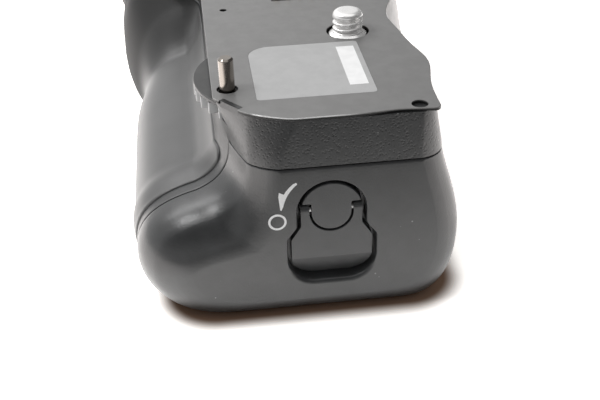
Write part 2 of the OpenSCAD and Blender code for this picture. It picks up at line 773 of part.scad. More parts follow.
module pack_terminals() {
    color("#d9b65c") for (x = [pack_x1, pack_x2])
        for (i = [-1.5 : 1 : 1.5])
            block([x - pack_l - terminal_t, chamber_y + i * contact_pitch - terminal_w / 2,
                    pack_z + terminal_up],
                [x - pack_l, chamber_y + i * contact_pitch + terminal_w / 2,
                    pack_z + terminal_up + terminal_h]);
}
module cap_screws() {
    head_x = cap_x + seam_gap / 2 - flange_t;
    color("#8a8a8c") for (s = [-1, 1])
        translate([head_x - 1.2, chamber_y + s * cap_screw_y, cap_screw_z]) rotate([0, 90, 0]) {
            cylinder(r = screw_head_r, h = 1.2);
            cylinder(r = shank_r, h = 7);
        }
}

module latch_knob() {
    color("#2f2f31") difference() {
        union() {
            in_end_plane(recess_x - knob_base + 0.2) cylinder(r = knob_r, h = knob_base - 0.2);
            in_end_plane(recess_x - 0.1) linear_extrude(latch_face - recess_x + 0.1) {
                intersection() {
                    circle(knob_r);
                    translate([-20, notch_v]) square([40, 20]);
                }
                circle(disc_r);
                translate([-disc_r, 0]) square([2 * disc_r, notch_v + 0.5]);
            }
        }
        hinge_cylinder(hinge_pin_r, knob_r + 1);
    }
}
module hinge_cylinder(r, reach) {
    translate([hinge_x, -latch_front, latch_z]) rotate([90, 0, 0])
        cylinder(r = r, h = 2 * reach, center = true);
}
module tab_pin() {
    color("#a8a8aa") hinge_cylinder(hinge_pin_r, knob_r - 0.3);
}
module latch_tab() {
    crease = 10.4;
    slope = 22;
    color("#303032") difference() {
        union() {
            in_end_plane(tab_low) linear_extrude(tab_t) difference() {
                latch_outline(0);
                translate([-20, 0]) square([40, 20]);
                circle(disc_r + disc_gap);
            }
            difference() {
                hinge_cylinder(tab_t / 2, knob_r);
                hinge_cylinder(tab_t, disc_r + disc_gap);
            }
        }
        hinge_cylinder(hinge_pin_r + run_gap, knob_r + 1);
        in_end_plane(latch_face) translate([0, -crease, 0]) rotate([-slope, 0, 0])
            translate([-20, -20, 0]) cube([40, 20, 10]);
    }
}
module latch_bolt() {
    color("#a8a8aa") {
        in_end_plane(bolt_x) cylinder(r = bolt_r, h = recess_x - knob_base + 0.2 - bolt_x);
        in_end_plane(bolt_x) linear_extrude(bolt_t)
            translate([-bolt_w / 2, 0]) square([bolt_w, bolt_reach]);
    }
}

module shutter_button() {
    dish_r = 22;
    face_t = seat_t + lock_t + collar_lip + button_rise + 0.5;
    color("#1d1d1e") on_shutter_axis() difference() {
        union() {
            translate([0, 0, collar_low]) cylinder(r = button_r, h = face_t - collar_low);
            translate([0, 0, collar_low - button_foot]) cylinder(r = button_r + 0.7, h = 1);
            translate([0, 0, collar_low - 1]) cylinder(r = button_r - 1, h = 2);
        }
        translate([0, 0, face_t + dish_r - 0.6]) sphere(dish_r);
    }
}
module shutter_collar() {
    color("#8d8d90") on_shutter_axis() difference() {
        union() {
            translate([0, 0, collar_low]) cylinder(r = collar_out, h = seat_t + lock_t + 0.5 - collar_low);
            translate([0, 0, seat_t + lock_t + 0.4]) cylinder(r = collar_out + lip_reach, h = collar_lip);
        }
        translate([0, 0, collar_low - 1]) cylinder(r = button_r + run_gap, h = far_r);
    }
}
nub_w = 3;
nub_reach = 2;
nub_gap = 0.2;
module lock_ring() {
    nub_start = collar_out + lip_reach + nub_gap;
    color("#343436") on_shutter_axis() translate([0, 0, seat_t + 0.2]) difference() {
        union() {
            cylinder(r = ring_r, h = lock_t);
            translate([-ring_r - nub_reach, -nub_w / 2, lock_t / 2])
                cube([ring_r + nub_reach - nub_start, nub_w, lock_t]);
        }
        translate([0, 0, -1]) cylinder(r = collar_out + run_gap, h = lock_t + 4);
    }
}
dial_ribs = 36;
module index_dial() {
    color("#303032") at_dial(dial_w / 2) difference() {
        linear_extrude(dial_w) polygon([for (i = [0 : 2 * dial_ribs - 1])
            (dial_r - (i % 2) * 0.45) * [cos(i * 180 / dial_ribs), sin(i * 180 / dial_ribs)]]);
        translate([0, 0, -1]) cylinder(r = dial_axle_r + run_gap, h = dial_w + 2);
    }
}
module dial_axle() {
    color("#9a9a9c") at_dial(dial_w / 2 + 3) cylinder(r = dial_axle_r, h = dial_w + 6);
}
module thumb_button(i) {
    color("#232324") on_thumb_axis(i) {
        translate([0, 0, thumb_face - 6]) cylinder(r = thumb_r, h = 6);
        translate([0, 0, thumb_face - 5.4]) cylinder(r = thumb_r + thumb_flange, h = 1);
    }
}
module lock_button() {
    thumb_button(0);
}
module point_button() {
    thumb_button(1);
}
switch_back = 10.5;
switch_h = 2.8;
switch_fit = 0.1;
module button_switches() {
    color("#c9c9cb") {
        for (i = [0, 1])
            on_thumb_axis(i) translate([0, 0, thumb_face - switch_back])
                cylinder(r = thumb_r + thumb_flange + thumb_room - switch_fit, h = switch_h);
        on_shutter_axis() translate([0, 0, collar_low - switch_room])
            cylinder(r = button_r + 1 - switch_fit, h = shutter_switch_h);
    }
}

housing();
top_plate();
grip_rubber();
thumb_rubber();
base_cover();
base_screws();
tripod_socket();
guide_pin();
rating_label();
serial_strip();
circuit_board();
contact_block();
signal_pins();
chamber_contacts();
attachment_wheel();
wheel_axle();
mounting_screw();
screw_gear();
screw_bushing();
end_cap();
battery_tray();
battery_pack_1();
battery_pack_2();
pack_terminals();
cap_screws();
latch_knob();
latch_bolt();
latch_tab();
tab_pin();
shutter_button();
shutter_collar();
lock_ring();
index_dial();
dial_axle();
lock_button();
point_button();
button_switches();
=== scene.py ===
import math

import bpy
from mathutils import Matrix, Vector


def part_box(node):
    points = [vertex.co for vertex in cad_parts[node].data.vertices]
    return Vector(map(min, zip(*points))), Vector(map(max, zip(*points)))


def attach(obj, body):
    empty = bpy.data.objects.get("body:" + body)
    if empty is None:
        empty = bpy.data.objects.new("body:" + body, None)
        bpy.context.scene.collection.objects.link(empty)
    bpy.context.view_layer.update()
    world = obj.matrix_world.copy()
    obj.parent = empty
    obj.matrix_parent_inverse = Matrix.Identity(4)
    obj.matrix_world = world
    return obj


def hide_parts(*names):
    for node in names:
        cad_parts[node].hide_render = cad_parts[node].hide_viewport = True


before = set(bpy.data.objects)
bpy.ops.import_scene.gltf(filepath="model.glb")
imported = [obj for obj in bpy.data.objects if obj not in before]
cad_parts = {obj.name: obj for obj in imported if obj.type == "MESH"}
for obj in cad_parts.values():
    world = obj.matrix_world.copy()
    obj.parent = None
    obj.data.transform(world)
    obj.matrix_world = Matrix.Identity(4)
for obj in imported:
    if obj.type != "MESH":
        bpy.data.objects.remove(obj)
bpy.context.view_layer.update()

# Sizes, in millimetres
MM = 0.001
END_X, FAR_X, CAP_X = 38.0, -110.0, 25.0
SEAT_H, TOP_Z, SEAM_Z, SEAM_GAP = 44.0, 43.3, 33.5, 0.3
FACE_X = END_X - 0.03
SHOULDER_R, LEDGE_R, BASE_R, BASE_NEAR_R, REAR_R, FAR_R = 12.0, 8.0, 2.5, 4.5, 6.0, 14.0
WAIST_X, WAIST_W, RISE_L, LEDGE_X, LEDGE_L = -42.0, 10.0, 36.0, -40.5, 10.0
FRONT_Z, REAR_Z, TOE_IN, HEEL_IN = 11.0, 15.0, 13.5, 9.6
RUBBER_T, RUBBER_NEAR, RUBBER_FAR = 0.9, 22.0, -87.57
LATCH_Y, LATCH_Z, LATCH_FACE, RECESS_X = -9.2, 23.8, 37.5, 34.9
TAB_T, KNOB_R, DISC_R, TAB_W, TAB_REACH = 2.2, 5.9, 3.835, 15.7, 15.1
HINGE_X = LATCH_FACE - TAB_T / 2
WHEEL_AT, GEAR_TOP, GEAR_LOW, GEAR_FLOOR = (14.9, -16.425), 42.4, 39.0, 38.5
TOOTH_M, WHEEL_TEETH = 0.924, 34
WHEEL_R = TOOTH_M * (WHEEL_TEETH / 2 + 1)
CHAMBER_Y, CHAMBER_TOP = -7.8, 24.65
CORE = (LATCH_Y, FRONT_Z + 1)
SHUTTER_AT, SHUTTER_TURN, SHUTTER_SEAT = (-96.0, -37.1, 20.0), 220.0, 11.4
DIAL_AT = (-106.2, -18.0, 20.0)
THUMB_X, THUMB_Z = (-86.0, -72.0), 30.2
SEAM_R, CAP_BACK, CAP_EDGE_R, FACE_R = 0.35, CAP_X + 0.15, 0.2, 0.5
PIN_AT, PIN_R, PIN_FOOT_R, PIN_TIP_R = (23.9, -26.8), 1.45, 2.35, 1.08
PIN_FOOT, PIN_TOP = TOP_Z - 0.5, SEAT_H + 6.4
QUARTER = [math.radians(15 * i) for i in range(7)]


# Form of the body along its length
def smooth(t):
    c = max(0.0, min(1.0, t))
    return c * c * (3 - 2 * c)


def bell(t):
    return math.exp(-t * t)


def arc_in(d, r):
    u = max(0.0, min(r, d))
    return r - math.sqrt(r * r - u * u)


def near_in(x, r):
    return arc_in(x - (END_X - r), r)


def far_in(x, r):
    return arc_in(FAR_X + r - x, r)


def ramp(u, r):
    """Zero below zero and u above it, rounded over a reach of r."""
    return (u + math.hypot(u, r)) / 2


def curve(a, b, c, d, steps):
    """Points along a bent line, without its last one."""
    line = []
    for i in range(steps):
        t = i / steps
        k = ((1 - t) ** 3, 3 * (1 - t) ** 2 * t, 3 * (1 - t) * t * t, t ** 3)
        line.append(tuple(sum(w * p[j] for w, p in zip(k, (a, b, c, d))) for j in (0, 1)))
    return line


def front_flare(x):
    return 15 * smooth((-48 - x) / 26)


def rear_flare(x):
    return 5.6 * smooth((-3 - x) / 34)


def front_reach(x):
    return (47.1 - 1.9 * bell((x - WAIST_X) / WAIST_W) + 4 * smooth((WAIST_X - x) / RISE_L)
            - near_in(x, SHOULDER_R) - far_in(x, FAR_R))


def seat_edge(x):
    slant = 0.75 * ramp(x - END_X + 10.8, 0.3) + 1.2 * ramp(x - END_X + 3.6, 0.6)
    return 29.5 + front_flare(x) - slant - near_in(x, 2) - far_in(x, FAR_R)


def wall_edge(x):
    spread_out = 4.2 * min(1.0, (END_X - 5.5 - x) / 15)
    corner = 0.75 * ramp(x - END_X + 3.4, 1.2) + near_in(x, 3)
    return 25.3 + spread_out + 0.72 * front_flare(x) - corner - far_in(x, FAR_R)


def ledge_edge(x):
    return 34.5 + 0.6 * front_flare(x) - near_in(x, SHOULDER_R) - far_in(x, FAR_R)


def ledge_top(x):
    return 23.3 + 8.5 * smooth((LEDGE_X - x) / LEDGE_L) - near_in(x, LEDGE_R) - far_in(x, BASE_R)


def seat_back(x):
    waves = 2.2 * bell((x - 17.5) / 8) - 1.5 * bell((x + 8) / 8)
    return 10.7 + waves + rear_flare(x) - near_in(x, 3.5) - far_in(x, FAR_R)


def wall_back(x):
    return 12.6 + rear_flare(x) - near_in(x, 5.5) - far_in(x, FAR_R)


def rear_edge(x):
    return (16.7 + 0.6 * rear_flare(x) + 2.4 * bell((x - FAR_X - 30) / 18)
            - near_in(x, REAR_R) - far_in(x, FAR_R))


def base_edge(x):
    return near_in(x, BASE_NEAR_R) + far_in(x, BASE_R)


SIDE_STEPS = 14


def front_side(x):
    """Outline of the hand grip, from the base over the ledge to the foot of the wall."""
    f, b, l, t, w = front_reach(x), base_edge(x), ledge_edge(x), ledge_top(x), wall_edge(x)
    toe = f - TOE_IN
    return (curve((-toe, b), (-toe - 0.58 * TOE_IN, b), (-f, b + 0.36 * (FRONT_Z - b)), (-f, FRONT_Z),
                  SIDE_STEPS)
            + curve((-f, FRONT_Z), (-f, FRONT_Z + 0.6 * (t - FRONT_Z)),
                    (-l - 0.5 * (f - l), t - 0.13 * (f - l)), (-l, t), SIDE_STEPS)
            + curve((-l, t), (-l + 0.55 * (l - w), t + 0.15 * (SEAM_Z - t)),
                    (-w, SEAM_Z - 0.62 * (SEAM_Z - t)), (-w, SEAM_Z), SIDE_STEPS))


def rear_side(x):
    """Outline of the rear bulge, from the foot of the rear wall to the base."""
    r, b, w = rear_edge(x), base_edge(x), wall_back(x)
    return (curve((w, SEAM_Z), (w + 1, SEAM_Z - 5), (r, REAR_Z + 7), (r, REAR_Z), SIDE_STEPS)
            + curve((r, REAR_Z), (r, b + 0.33 * (REAR_Z - b)), (r - 0.4 * HEEL_IN, b), (r - HEEL_IN, b),
                    SIDE_STEPS) + [(r - HEEL_IN, b)])


def body_section(x):
    """Closed outline of the housing: grip, front wall, seat, rear wall, bulge."""
    w, s, h = wall_edge(x), seat_edge(x), TOP_Z - SEAM_Z
    wb, sb = wall_back(x), seat_back(x)
    front = curve((-w, SEAM_Z), (-w, SEAM_Z + 0.3 * h), (-s + 0.35 * (s - w), TOP_Z - 0.3 * h),
                  (-s, TOP_Z), 8)
    rear = curve((sb, TOP_Z), (sb + 0.3 * (wb - sb), TOP_Z - 0.3 * h), (wb - 0.2, SEAM_Z + 0.3 * h),
                 (wb, SEAM_Z), 8)
    return front_side(x) + front + [(-s, TOP_Z), ((sb - s) / 2, TOP_Z)] + rear + rear_side(x)


# Modelling by hand, in code
def rest():
    """Back to object mode with nothing selected."""
    if bpy.context.object and bpy.context.object.mode != "OBJECT":
        bpy.ops.object.mode_set(mode="OBJECT")
    bpy.ops.object.select_all(action="DESELECT")


def take(piece):
    rest()
    piece.select_set(True)
    bpy.context.view_layer.objects.active = piece


def edit(piece, kind="VERT", select="DESELECT"):
    take(piece)
    bpy.ops.object.mode_set(mode="EDIT")
    bpy.ops.mesh.select_mode(type=kind)
    bpy.ops.mesh.select_all(action=select)


def started(name):
    """Names the primitive that was just added and settles its place into its mesh."""
    piece = bpy.context.object
    piece.name = piece.data.name = name
    bpy.ops.object.transform_apply(location=True, rotation=True, scale=True)
    return piece


def settled(piece):
    """Merges doubles, drops loose bits and turns all faces outwards."""
    edit(piece, select="SELECT")
    bpy.ops.mesh.remove_doubles(threshold=1e-7)
    bpy.ops.mesh.delete_loose()
    bpy.ops.mesh.select_all(action="SELECT")
    bpy.ops.mesh.normals_make_consistent(inside=False)
    rest()
    return piece


def applied(piece, kind, **values):
    take(piece)
    modifier = piece.modifiers.new(kind.title(), kind)
    for key, value in values.items():
        setattr(modifier, key, value)
    bpy.ops.object.modifier_apply(modifier=modifier.name)
    return piece


def joined(piece, *others, operation="DIFFERENCE"):
    """Cuts the others out of a piece, or fuses them with it, and throws them away."""
    for other in others:
        applied(piece, "BOOLEAN", object=other, operation=operation, solver="EXACT")
        bpy.data.objects.remove(other)
    return piece


def round_edges(piece, width, segments=3, angle=35):
    return applied(piece, "BEVEL", width=width * MM, segments=segments, limit_method="ANGLE",
                   angle_limit=math.radians(angle), miter_outer="MITER_ARC")


def shaded(piece, angle=35):
    take(piece)
    bpy.ops.object.shade_smooth_by_angle(angle=math.radians(angle))
    applied(piece, "WEIGHTED_NORMAL", keep_sharp=True)
    rest()
    return piece


def lofted(name, rings, round_trip=False):
    """A grid laid through closed rings of points, welded along its seam. Its ends are filled, or the last
    ring is welded to the first."""
    rows, count = len(rings) - 1, len(rings[0])
    rest()
    bpy.ops.mesh.primitive_grid_add(x_subdivisions=count, y_subdivisions=rows, size=1)
    piece = started(name)
    for v in piece.data.vertices:
        column = round((v.co.x + 0.5) * count) % count
        v.co = Vector(rings[round((v.co.y + 0.5) * rows)][column]) * MM
    edit(piece, select="SELECT")
    bpy.ops.mesh.remove_doubles(threshold=1e-7)
    if not round_trip:
        bpy.ops.mesh.select_all(action="SELECT")
        bpy.ops.mesh.fill_holes(sides=0)
    return settled(piece)


def along_x(places, section):
    """Rings of a body, with a slightly smaller ring inside each flat end."""
    rings = [[(x, y, z) for y, z in section(x)] for x in places]
    return [shrunk(rings[0])] + rings + [shrunk(rings[-1])]


def shrunk(ring, share=0.96):
    return [(x, CORE[0] + share * (y - CORE[0]), CORE[1] + share * (z - CORE[1])) for x, y, z in ring]


def slab(name, outline, low, high, plane="XY"):
    """A face laid on an outline and extruded. Plane XY rises along z, and YZ along x from the end plane."""
    place = {"XY": lambda u, v, h: (u, v, h), "YZ": lambda u, v, h: (h, u + LATCH_Y, v + LATCH_Z)}[plane]
    rest()
    bpy.ops.mesh.primitive_circle_add(vertices=len(outline), radius=1, fill_type="NGON")
    piece = started(name)
    for v, (a, b) in zip(piece.data.vertices, outline):
        v.co = Vector(place(a, b, low)) * MM
    edit(piece, "FACE", "SELECT")
    rise = (high - low) * MM
    bpy.ops.mesh.extrude_region_move(
        TRANSFORM_OT_translate={"value": (0, 0, rise) if plane == "XY" else (rise, 0, 0)})
    return settled(piece)


def cylinder(name, r, low, high, sides=96):
    """A round block about the z axis, used to cut or to build on."""
    rest()
    bpy.ops.mesh.primitive_cylinder_add(vertices=sides, radius=r * MM, depth=(high - low) * MM,
                                        location=(0, 0, (high + low) / 2 * MM))
    return started(name)


def block(name, low, high):
    rest()
    bpy.ops.mesh.primitive_cube_add(size=1, location=[(a + b) / 2 * MM for a, b in zip(low, high)],
                                    scale=[(b - a) * MM for a, b in zip(low, high)])
    return started(name)


def moved(piece, place=(0, 0, 0), tilt=Matrix.Identity(4)):
    """Turns a piece about the origin, then carries it to its place."""
    take(piece)
    piece.matrix_world = Matrix.Translation(Vector(place) * MM) @ tilt
    bpy.ops.object.transform_apply(location=True, rotation=True, scale=True)
    return piece


def turned(name, profile, steps=96):
    """A solid turned about the z axis from a closed profile of radius and height."""
    rest()
    bpy.ops.mesh.primitive_circle_add(vertices=len(profile), radius=1)
    piece = started(name)
    for v, (r, z) in zip(piece.data.vertices, profile):
        v.co = Vector((r, 0, z)) * MM
    edit(piece, "EDGE", "SELECT")
    bpy.ops.mesh.spin(steps=steps, angle=2 * math.pi, center=(0, 0, 0), axis=(0, 0, 1))
    return settled(piece)


def fused(name, pieces):
    """Several meshes made one object."""
    take(pieces[0])
    for other in pieces[1:]:
        other.select_set(True)
    if len(pieces) > 1:
        bpy.ops.object.join()
    pieces[0].name = pieces[0].data.name = name
    rest()
    return pieces[0]


def copied(piece):
    twin = piece.copy()
    twin.data = piece.data.copy()
    bpy.context.collection.objects.link(twin)
    return twin


def softened(outline, radius, steps=5):
    """Outline whose sharp corners are rounded, where their sides leave room."""
    soft = []
    count = len(outline)
    for i, p in enumerate(outline):
        a, b = Vector(outline[i - 1]), Vector(outline[(i + 1) % count])
        p = Vector(p)
        u, v = (a - p), (b - p)
        turn = u.angle(v)
        reach = radius / math.tan(turn / 2)
        if turn > math.radians(160) or reach > 0.49 * min(u.length, v.length):
            soft.append(tuple(p))
            continue
        start, stop = p + u.normalized() * reach, p + v.normalized() * reach
        for k in range(steps + 1):
            t = k / steps
            soft.append(tuple((1 - t) ** 2 * start + 2 * t * (1 - t) * p + t * t * stop))
    return soft


def rounded_profile(points, radius):
    return softened(points, radius, 4)


def ring_points(r, low, high, step, centre=(0, 0)):
    count = max(2, round(abs(high - low) / step))
    return [(centre[0] + r * math.cos(math.radians(low + (high - low) * i / count)),
             centre[1] + r * math.sin(math.radians(low + (high - low) * i / count)))
            for i in range(count + 1)]


def round_rect(w, h, r, centre=(0, 0)):
    return [p for k, (sx, sy) in enumerate(((1, 1), (-1, 1), (-1, -1), (1, -1)))
            for p in ring_points(r, 90 * k, 90 * k + 90, 9,
                                 (centre[0] + sx * (w / 2 - r), centre[1] + sy * (h / 2 - r)))]


TO_SHUTTER = Matrix.Rotation(math.radians(SHUTTER_TURN), 4, "Z") @ Matrix.Rotation(math.pi / 2, 4, "Y")
TO_REAR = Matrix.Rotation(-math.pi / 2, 4, "X")
TO_END = Matrix.Rotation(math.pi / 2, 4, "Z") @ Matrix.Rotation(math.pi / 2, 4, "X")


# Finishes
def linked(tree, kind, inputs=None, **settings):
    """A node with its sockets filled: a socket is linked, anything else is set."""
    step = tree.nodes.new(kind)
    for key, value in settings.items():
        setattr(step, key, value)
    for key, value in (inputs or {}).items():
        if isinstance(value, bpy.types.NodeSocket):
            tree.links.new(value, step.inputs[key])
        else:
            step.inputs[key].default_value = value
    return step.outputs[0]


def grey(v, warm=0.0):
    return (v * (1 + warm), v, v * (1 - warm), 1)


def reckon(tree, operation, a, b=0.0):
    return linked(tree, "ShaderNodeMath", {0: a, 1: b}, operation=operation)


def spread(tree, value, low, high, to_low=0.0, to_high=1.0):
    return linked(tree, "ShaderNodeMapRange", {0: value, 1: low, 2: high, 3: to_low, 4: to_high},
                  interpolation_type="SMOOTHSTEP")


def blended(tree, share, a, b):
    step = tree.nodes.new("ShaderNodeMix")
    step.data_type = "RGBA"
    for key, value in (("Factor_Float", share), ("A_Color", a), ("B_Color", b)):
        socket = next(s for s in step.inputs if s.identifier == key)
        if isinstance(value, bpy.types.NodeSocket):
            tree.links.new(value, socket)
        else:
            socket.default_value = value
    return next(s for s in step.outputs if s.identifier == "Result_Color")


def axes_of(tree, place):
    """The x, y and z of a place, each as a socket."""
    split = tree.nodes.new("ShaderNodeSeparateXYZ")
    tree.links.new(place, split.inputs[0])
    return split.outputs


class Finish:
    """A procedural material on object coordinates: mottled colour, uneven gloss and a fine grain."""

    def __init__(self, name, dark, light, gloss, mottle=220, grain=3500, depth=0.00002, strength=0.25,
                 metallic=0.0, specular=0.5):
        self.material = bpy.data.materials.new(name)
        self.material.use_nodes = True
        self.tree = self.material.node_tree
        self.shader = self.tree.nodes["Principled BSDF"]
        self.place = self.tree.nodes.new("ShaderNodeTexCoord").outputs["Object"]
        cloud = self.noise(mottle, 4)
        self.colour = blended(self.tree, spread(self.tree, cloud, 0.3, 0.7), dark, light)
        self.height = self.noise(grain, 3)
        self.gloss = spread(self.tree, self.noise(mottle * 3, 3), 0.3, 0.7, gloss - 0.02, gloss + 0.02)
        self.depth, self.strength = depth, strength
        self.shader.inputs["Metallic"].default_value = metallic
        self.shader.inputs["Specular IOR Level"].default_value = specular

    def noise(self, scale, detail):
        return linked(self.tree, "ShaderNodeTexNoise",
                      {"Vector": self.place, "Scale": scale, "Detail": detail})

    def cells(self, scale):
        return linked(self.tree, "ShaderNodeTexVoronoi", {"Vector": self.place, "Scale": scale})

    def tint(self, share, colour):
        self.colour = blended(self.tree, share, self.colour, colour)

    def done(self):
        bump = linked(self.tree, "ShaderNodeBump", {"Strength": self.strength, "Distance": self.depth,
                                                    "Height": self.height})
        for key, socket in (("Base Color", self.colour), ("Roughness", self.gloss), ("Normal", bump)):
            self.tree.links.new(socket, self.shader.inputs[key])
        return self.material


def moulded_plastic(name, dark, light, gloss=0.42, wall=False):
    """Grained plastic with a few light specks. The upper end wall has pits like leather."""
    f = Finish(name, grey(dark, -0.03), grey(light, -0.03), gloss, grain=2600, depth=0.00003, strength=0.8,
               specular=0.6)
    if wall:
        axes = axes_of(f.tree, f.place)
        on_wall = reckon(f.tree, "MULTIPLY", spread(f.tree, axes["X"], 0.030, 0.035),
                         spread(f.tree, axes["Z"], 0.0333, 0.0336))
        pits = reckon(f.tree, "MULTIPLY", spread(f.tree, f.cells(1500), 0.22, 0.42, 1, 0), on_wall)
        f.tint(reckon(f.tree, "MULTIPLY", pits, 0.6), grey(0.006))
        f.height = reckon(f.tree, "SUBTRACT", f.height, reckon(f.tree, "MULTIPLY", pits, 0.9))
    specks = reckon(f.tree, "MULTIPLY", spread(f.tree, f.cells(420), 0.05, 0.09, 1, 0),
                    spread(f.tree, f.noise(60, 2), 0.56, 0.62))
    f.tint(reckon(f.tree, "MULTIPLY", specks, 0.5), grey(0.4))
    return f.done()


def plain_finish(name, dark, light, gloss, **more):
    return Finish(name, dark, light, gloss, **more).done()


def rubber_worn_and_shaded(name):
    """Smooth rubber, shiny where the palm rubs it; beyond the waist of the grip its colour is darkened as
    painted shade.
    """
    f = Finish(name, grey(0.036), grey(0.048), 0.42, mottle=120, grain=2600, strength=0.12)
    rubbed_and_unshaded = spread(f.tree, axes_of(f.tree, f.place)["X"], -0.056, -0.036)
    # Painted shade: the colour darkens beyond the waist of the grip
    f.tint(reckon(f.tree, "SUBTRACT", 1.0, rubbed_and_unshaded), grey(0.02))
    f.gloss = spread(f.tree, rubbed_and_unshaded, 0, 1, 0.6, 0.42)
    f.tree.links.new(spread(f.tree, rubbed_and_unshaded, 0, 1, 0.12, 0.7), f.shader.inputs["Specular IOR Level"])
    f.tree.links.new(spread(f.tree, rubbed_and_unshaded, 0, 1, 0.0, 0.3), f.shader.inputs["Sheen Weight"])
    return f.done()


def paint_with_painted_edge_light(name):
    """Grey paint on the plate's face, with a painted highlight along its near edge and painted shade
    blackening its edges and hole walls.
    """
    f = Finish(name, grey(0.215, 0.01), grey(0.235, 0.01), 0.42, mottle=300, grain=4200, strength=0.2,
               metallic=0.4)
    axes = axes_of(f.tree, f.place)
    # Painted highlight: a bright line along the rounding of the plate's near edge
    painted_highlight_edge = reckon(f.tree, "MULTIPLY", spread(f.tree, axes["X"], 0.0347, 0.0353),
                       spread(f.tree, axes["Y"], -0.008, -0.002, 1.0, 0.0))
    rounding = spread(f.tree, axes["Z"], 0.04397, 0.04399, 1.0, 0.0)
    f.tint(reckon(f.tree, "MULTIPLY", painted_highlight_edge, rounding), grey(0.8))
    # Painted shade: the plate's sides below its rounding and the walls of its holes are darkened to near
    # black
    f.tint(spread(f.tree, axes["Z"], 0.0437, 0.04388, 1.0, 0.0), grey(0.015))
    return f.done()


def wheel_with_painted_highlight(name):
    """Dark plastic whose teeth, below the rim, are lightened as a painted highlight."""
    f = Finish(name, grey(0.03), grey(0.04), 0.36, strength=0.12)
    # Painted highlight: the teeth below the rim are made light grey
    f.tint(spread(f.tree, axes_of(f.tree, f.place)["Z"], 0.0412, 0.0416, 0.9, 0.0), grey(0.6))
    return f.done()


plastic = moulded_plastic("grip_plastic", 0.026, 0.034, 0.34, wall=True)
cap_plastic = moulded_plastic("cap_plastic", 0.028, 0.036, 0.3)
latch_plastic = moulded_plastic("latch_plastic", 0.034, 0.042, 0.38)
rubber = rubber_worn_and_shaded("grip_rubber")
plate_paint = paint_with_painted_edge_light("seat_paint")
label_film = plain_finish("label_film", grey(0.39), grey(0.42), 0.4, mottle=400, strength=0.05)
strip_paper = plain_finish("strip_paper", grey(0.8), grey(0.86), 0.5, mottle=500, strength=0.04)
mark_paint = plain_finish("mark_paint", grey(0.88), grey(0.92), 0.5, mottle=900, strength=0.05)
pin_nickel = plain_finish("pin_nickel", grey(0.22, 0.1), grey(0.25, 0.1), 0.2, metallic=1.0,
                          grain=6000, strength=0.05)
screw_steel = plain_finish("screw_steel", grey(0.9, 0.01), grey(0.95, 0.01), 0.26, metallic=0.65,
                           strength=0.03)
dull_steel = plain_finish("dull_steel", grey(0.42), grey(0.5), 0.32, metallic=1.0, strength=0.1)
black_steel = plain_finish("black_steel", grey(0.06), grey(0.08), 0.34, metallic=0.6, strength=0.1)
brass = plain_finish("gear_brass", (0.62, 0.46, 0.2, 1), (0.7, 0.53, 0.25, 1), 0.28, metallic=1.0,
                     strength=0.08)
gold = plain_finish("contact_gold", (0.8, 0.58, 0.22, 1), (0.86, 0.65, 0.28, 1), 0.2, metallic=1.0,
                    strength=0.04)
wheel_finish = wheel_with_painted_highlight("wheel_finish")
button_gloss = plain_finish("button_gloss", grey(0.02), grey(0.026), 0.26, strength=0.06)
inner_plastic = plain_finish("tray_plastic", grey(0.03), grey(0.036), 0.55, strength=0.2)
pack_plastic = plain_finish("pack_plastic", grey(0.07), grey(0.08), 0.45, strength=0.15)
board_green = plain_finish("board_green", (0.01, 0.07, 0.03, 1), (0.014, 0.09, 0.04, 1), 0.35)


def placed(piece, body, material, slot, *nodes, angle=35):
    """Gives a piece its finish and its body, and hides the nodes that it stands for."""
    shaded(piece, angle)
    piece.data.materials.clear()
    piece.data.materials.append(material)
    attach(piece, body)
    if nodes:
        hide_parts(*nodes)
    return piece


# Housing
def spaced(low, high, count):
    return [low + (high - low) * i / count for i in range(count + 1)]


def end_places(r, start, sign, steps=12):
    return [start + sign * r * (1 - math.cos(math.radians(90 * i / steps))) for i in range(steps + 1)]


near_places = sorted([min(FACE_X, x) for x in end_places(SHOULDER_R, END_X, -1)]
                     + [34.1, 34.25, 34.4, 34.6, 34.75, 35.0])
body_places = (end_places(FAR_R, FAR_X, 1) + spaced(FAR_X + FAR_R, RUBBER_NEAR, 48)[1:]
               + [23.5, 24.5, 24.7, 24.85, CAP_X, 25.5] + near_places)


def drawn_in(y, z, reach):
    """A point of an outline, moved towards the body's core."""
    dy, dz = CORE[0] - y, CORE[1] - z
    share = reach / math.hypot(dy, dz)
    return y + dy * share, z + dz * share


def housing_section(x):
    """The body's outline, drawn in a little where the seam of the cap meets it."""
    edge = arc_in(SEAM_R - max(0.0, CAP_X - x), SEAM_R) if x <= CAP_X + 1 else 0.0
    return [drawn_in(y, z, edge if z < SEAM_Z + 0.01 else 0.0) for y, z in body_section(x)]


def gear_outline(teeth, turn):
    """Spur gear with a tooth on the side that the angle names."""
    pitch = teeth * TOOTH_M / 2
    base, root, tip = pitch * math.cos(math.radians(25)), pitch - 1.25 * TOOTH_M, pitch + TOOTH_M

    def involute(r):
        a = math.acos(min(1, base / r))
        return math.tan(a) - a

    half = math.radians(90 / teeth) - 0.12 / pitch / 2
    radii = [root + (tip - root) * i / 5 for i in range(6)]
    flanks = [(r, half + involute(pitch) - involute(max(r, base))) for r in radii]
    points = []
    for k in range(teeth):
        middle = math.radians(turn) + 2 * math.pi * k / teeth
        for r, a in [(r, -a) for r, a in flanks] + [(r, a) for r, a in reversed(flanks)]:
            points.append((r * math.cos(middle + a), r * math.sin(middle + a)))
    return points


RIB = (28.5, 32.6)


def corner_rib(gap):
    """Outline of the housing's rib that stands in a notch of the plate's slanted front corner."""
    a, b = (Vector((x, -seat_edge(x))) for x in RIB)
    way = (b - a).normalized()
    inward = Vector((-way.y, way.x))
    out = -2.0 if gap else 0.0
    return [tuple(p) for p in (a - way * gap + inward * out, b + way * gap + inward * out,
                               b + way * gap + inward * (0.95 + gap), a - way * gap + inward * (0.95 + gap))]


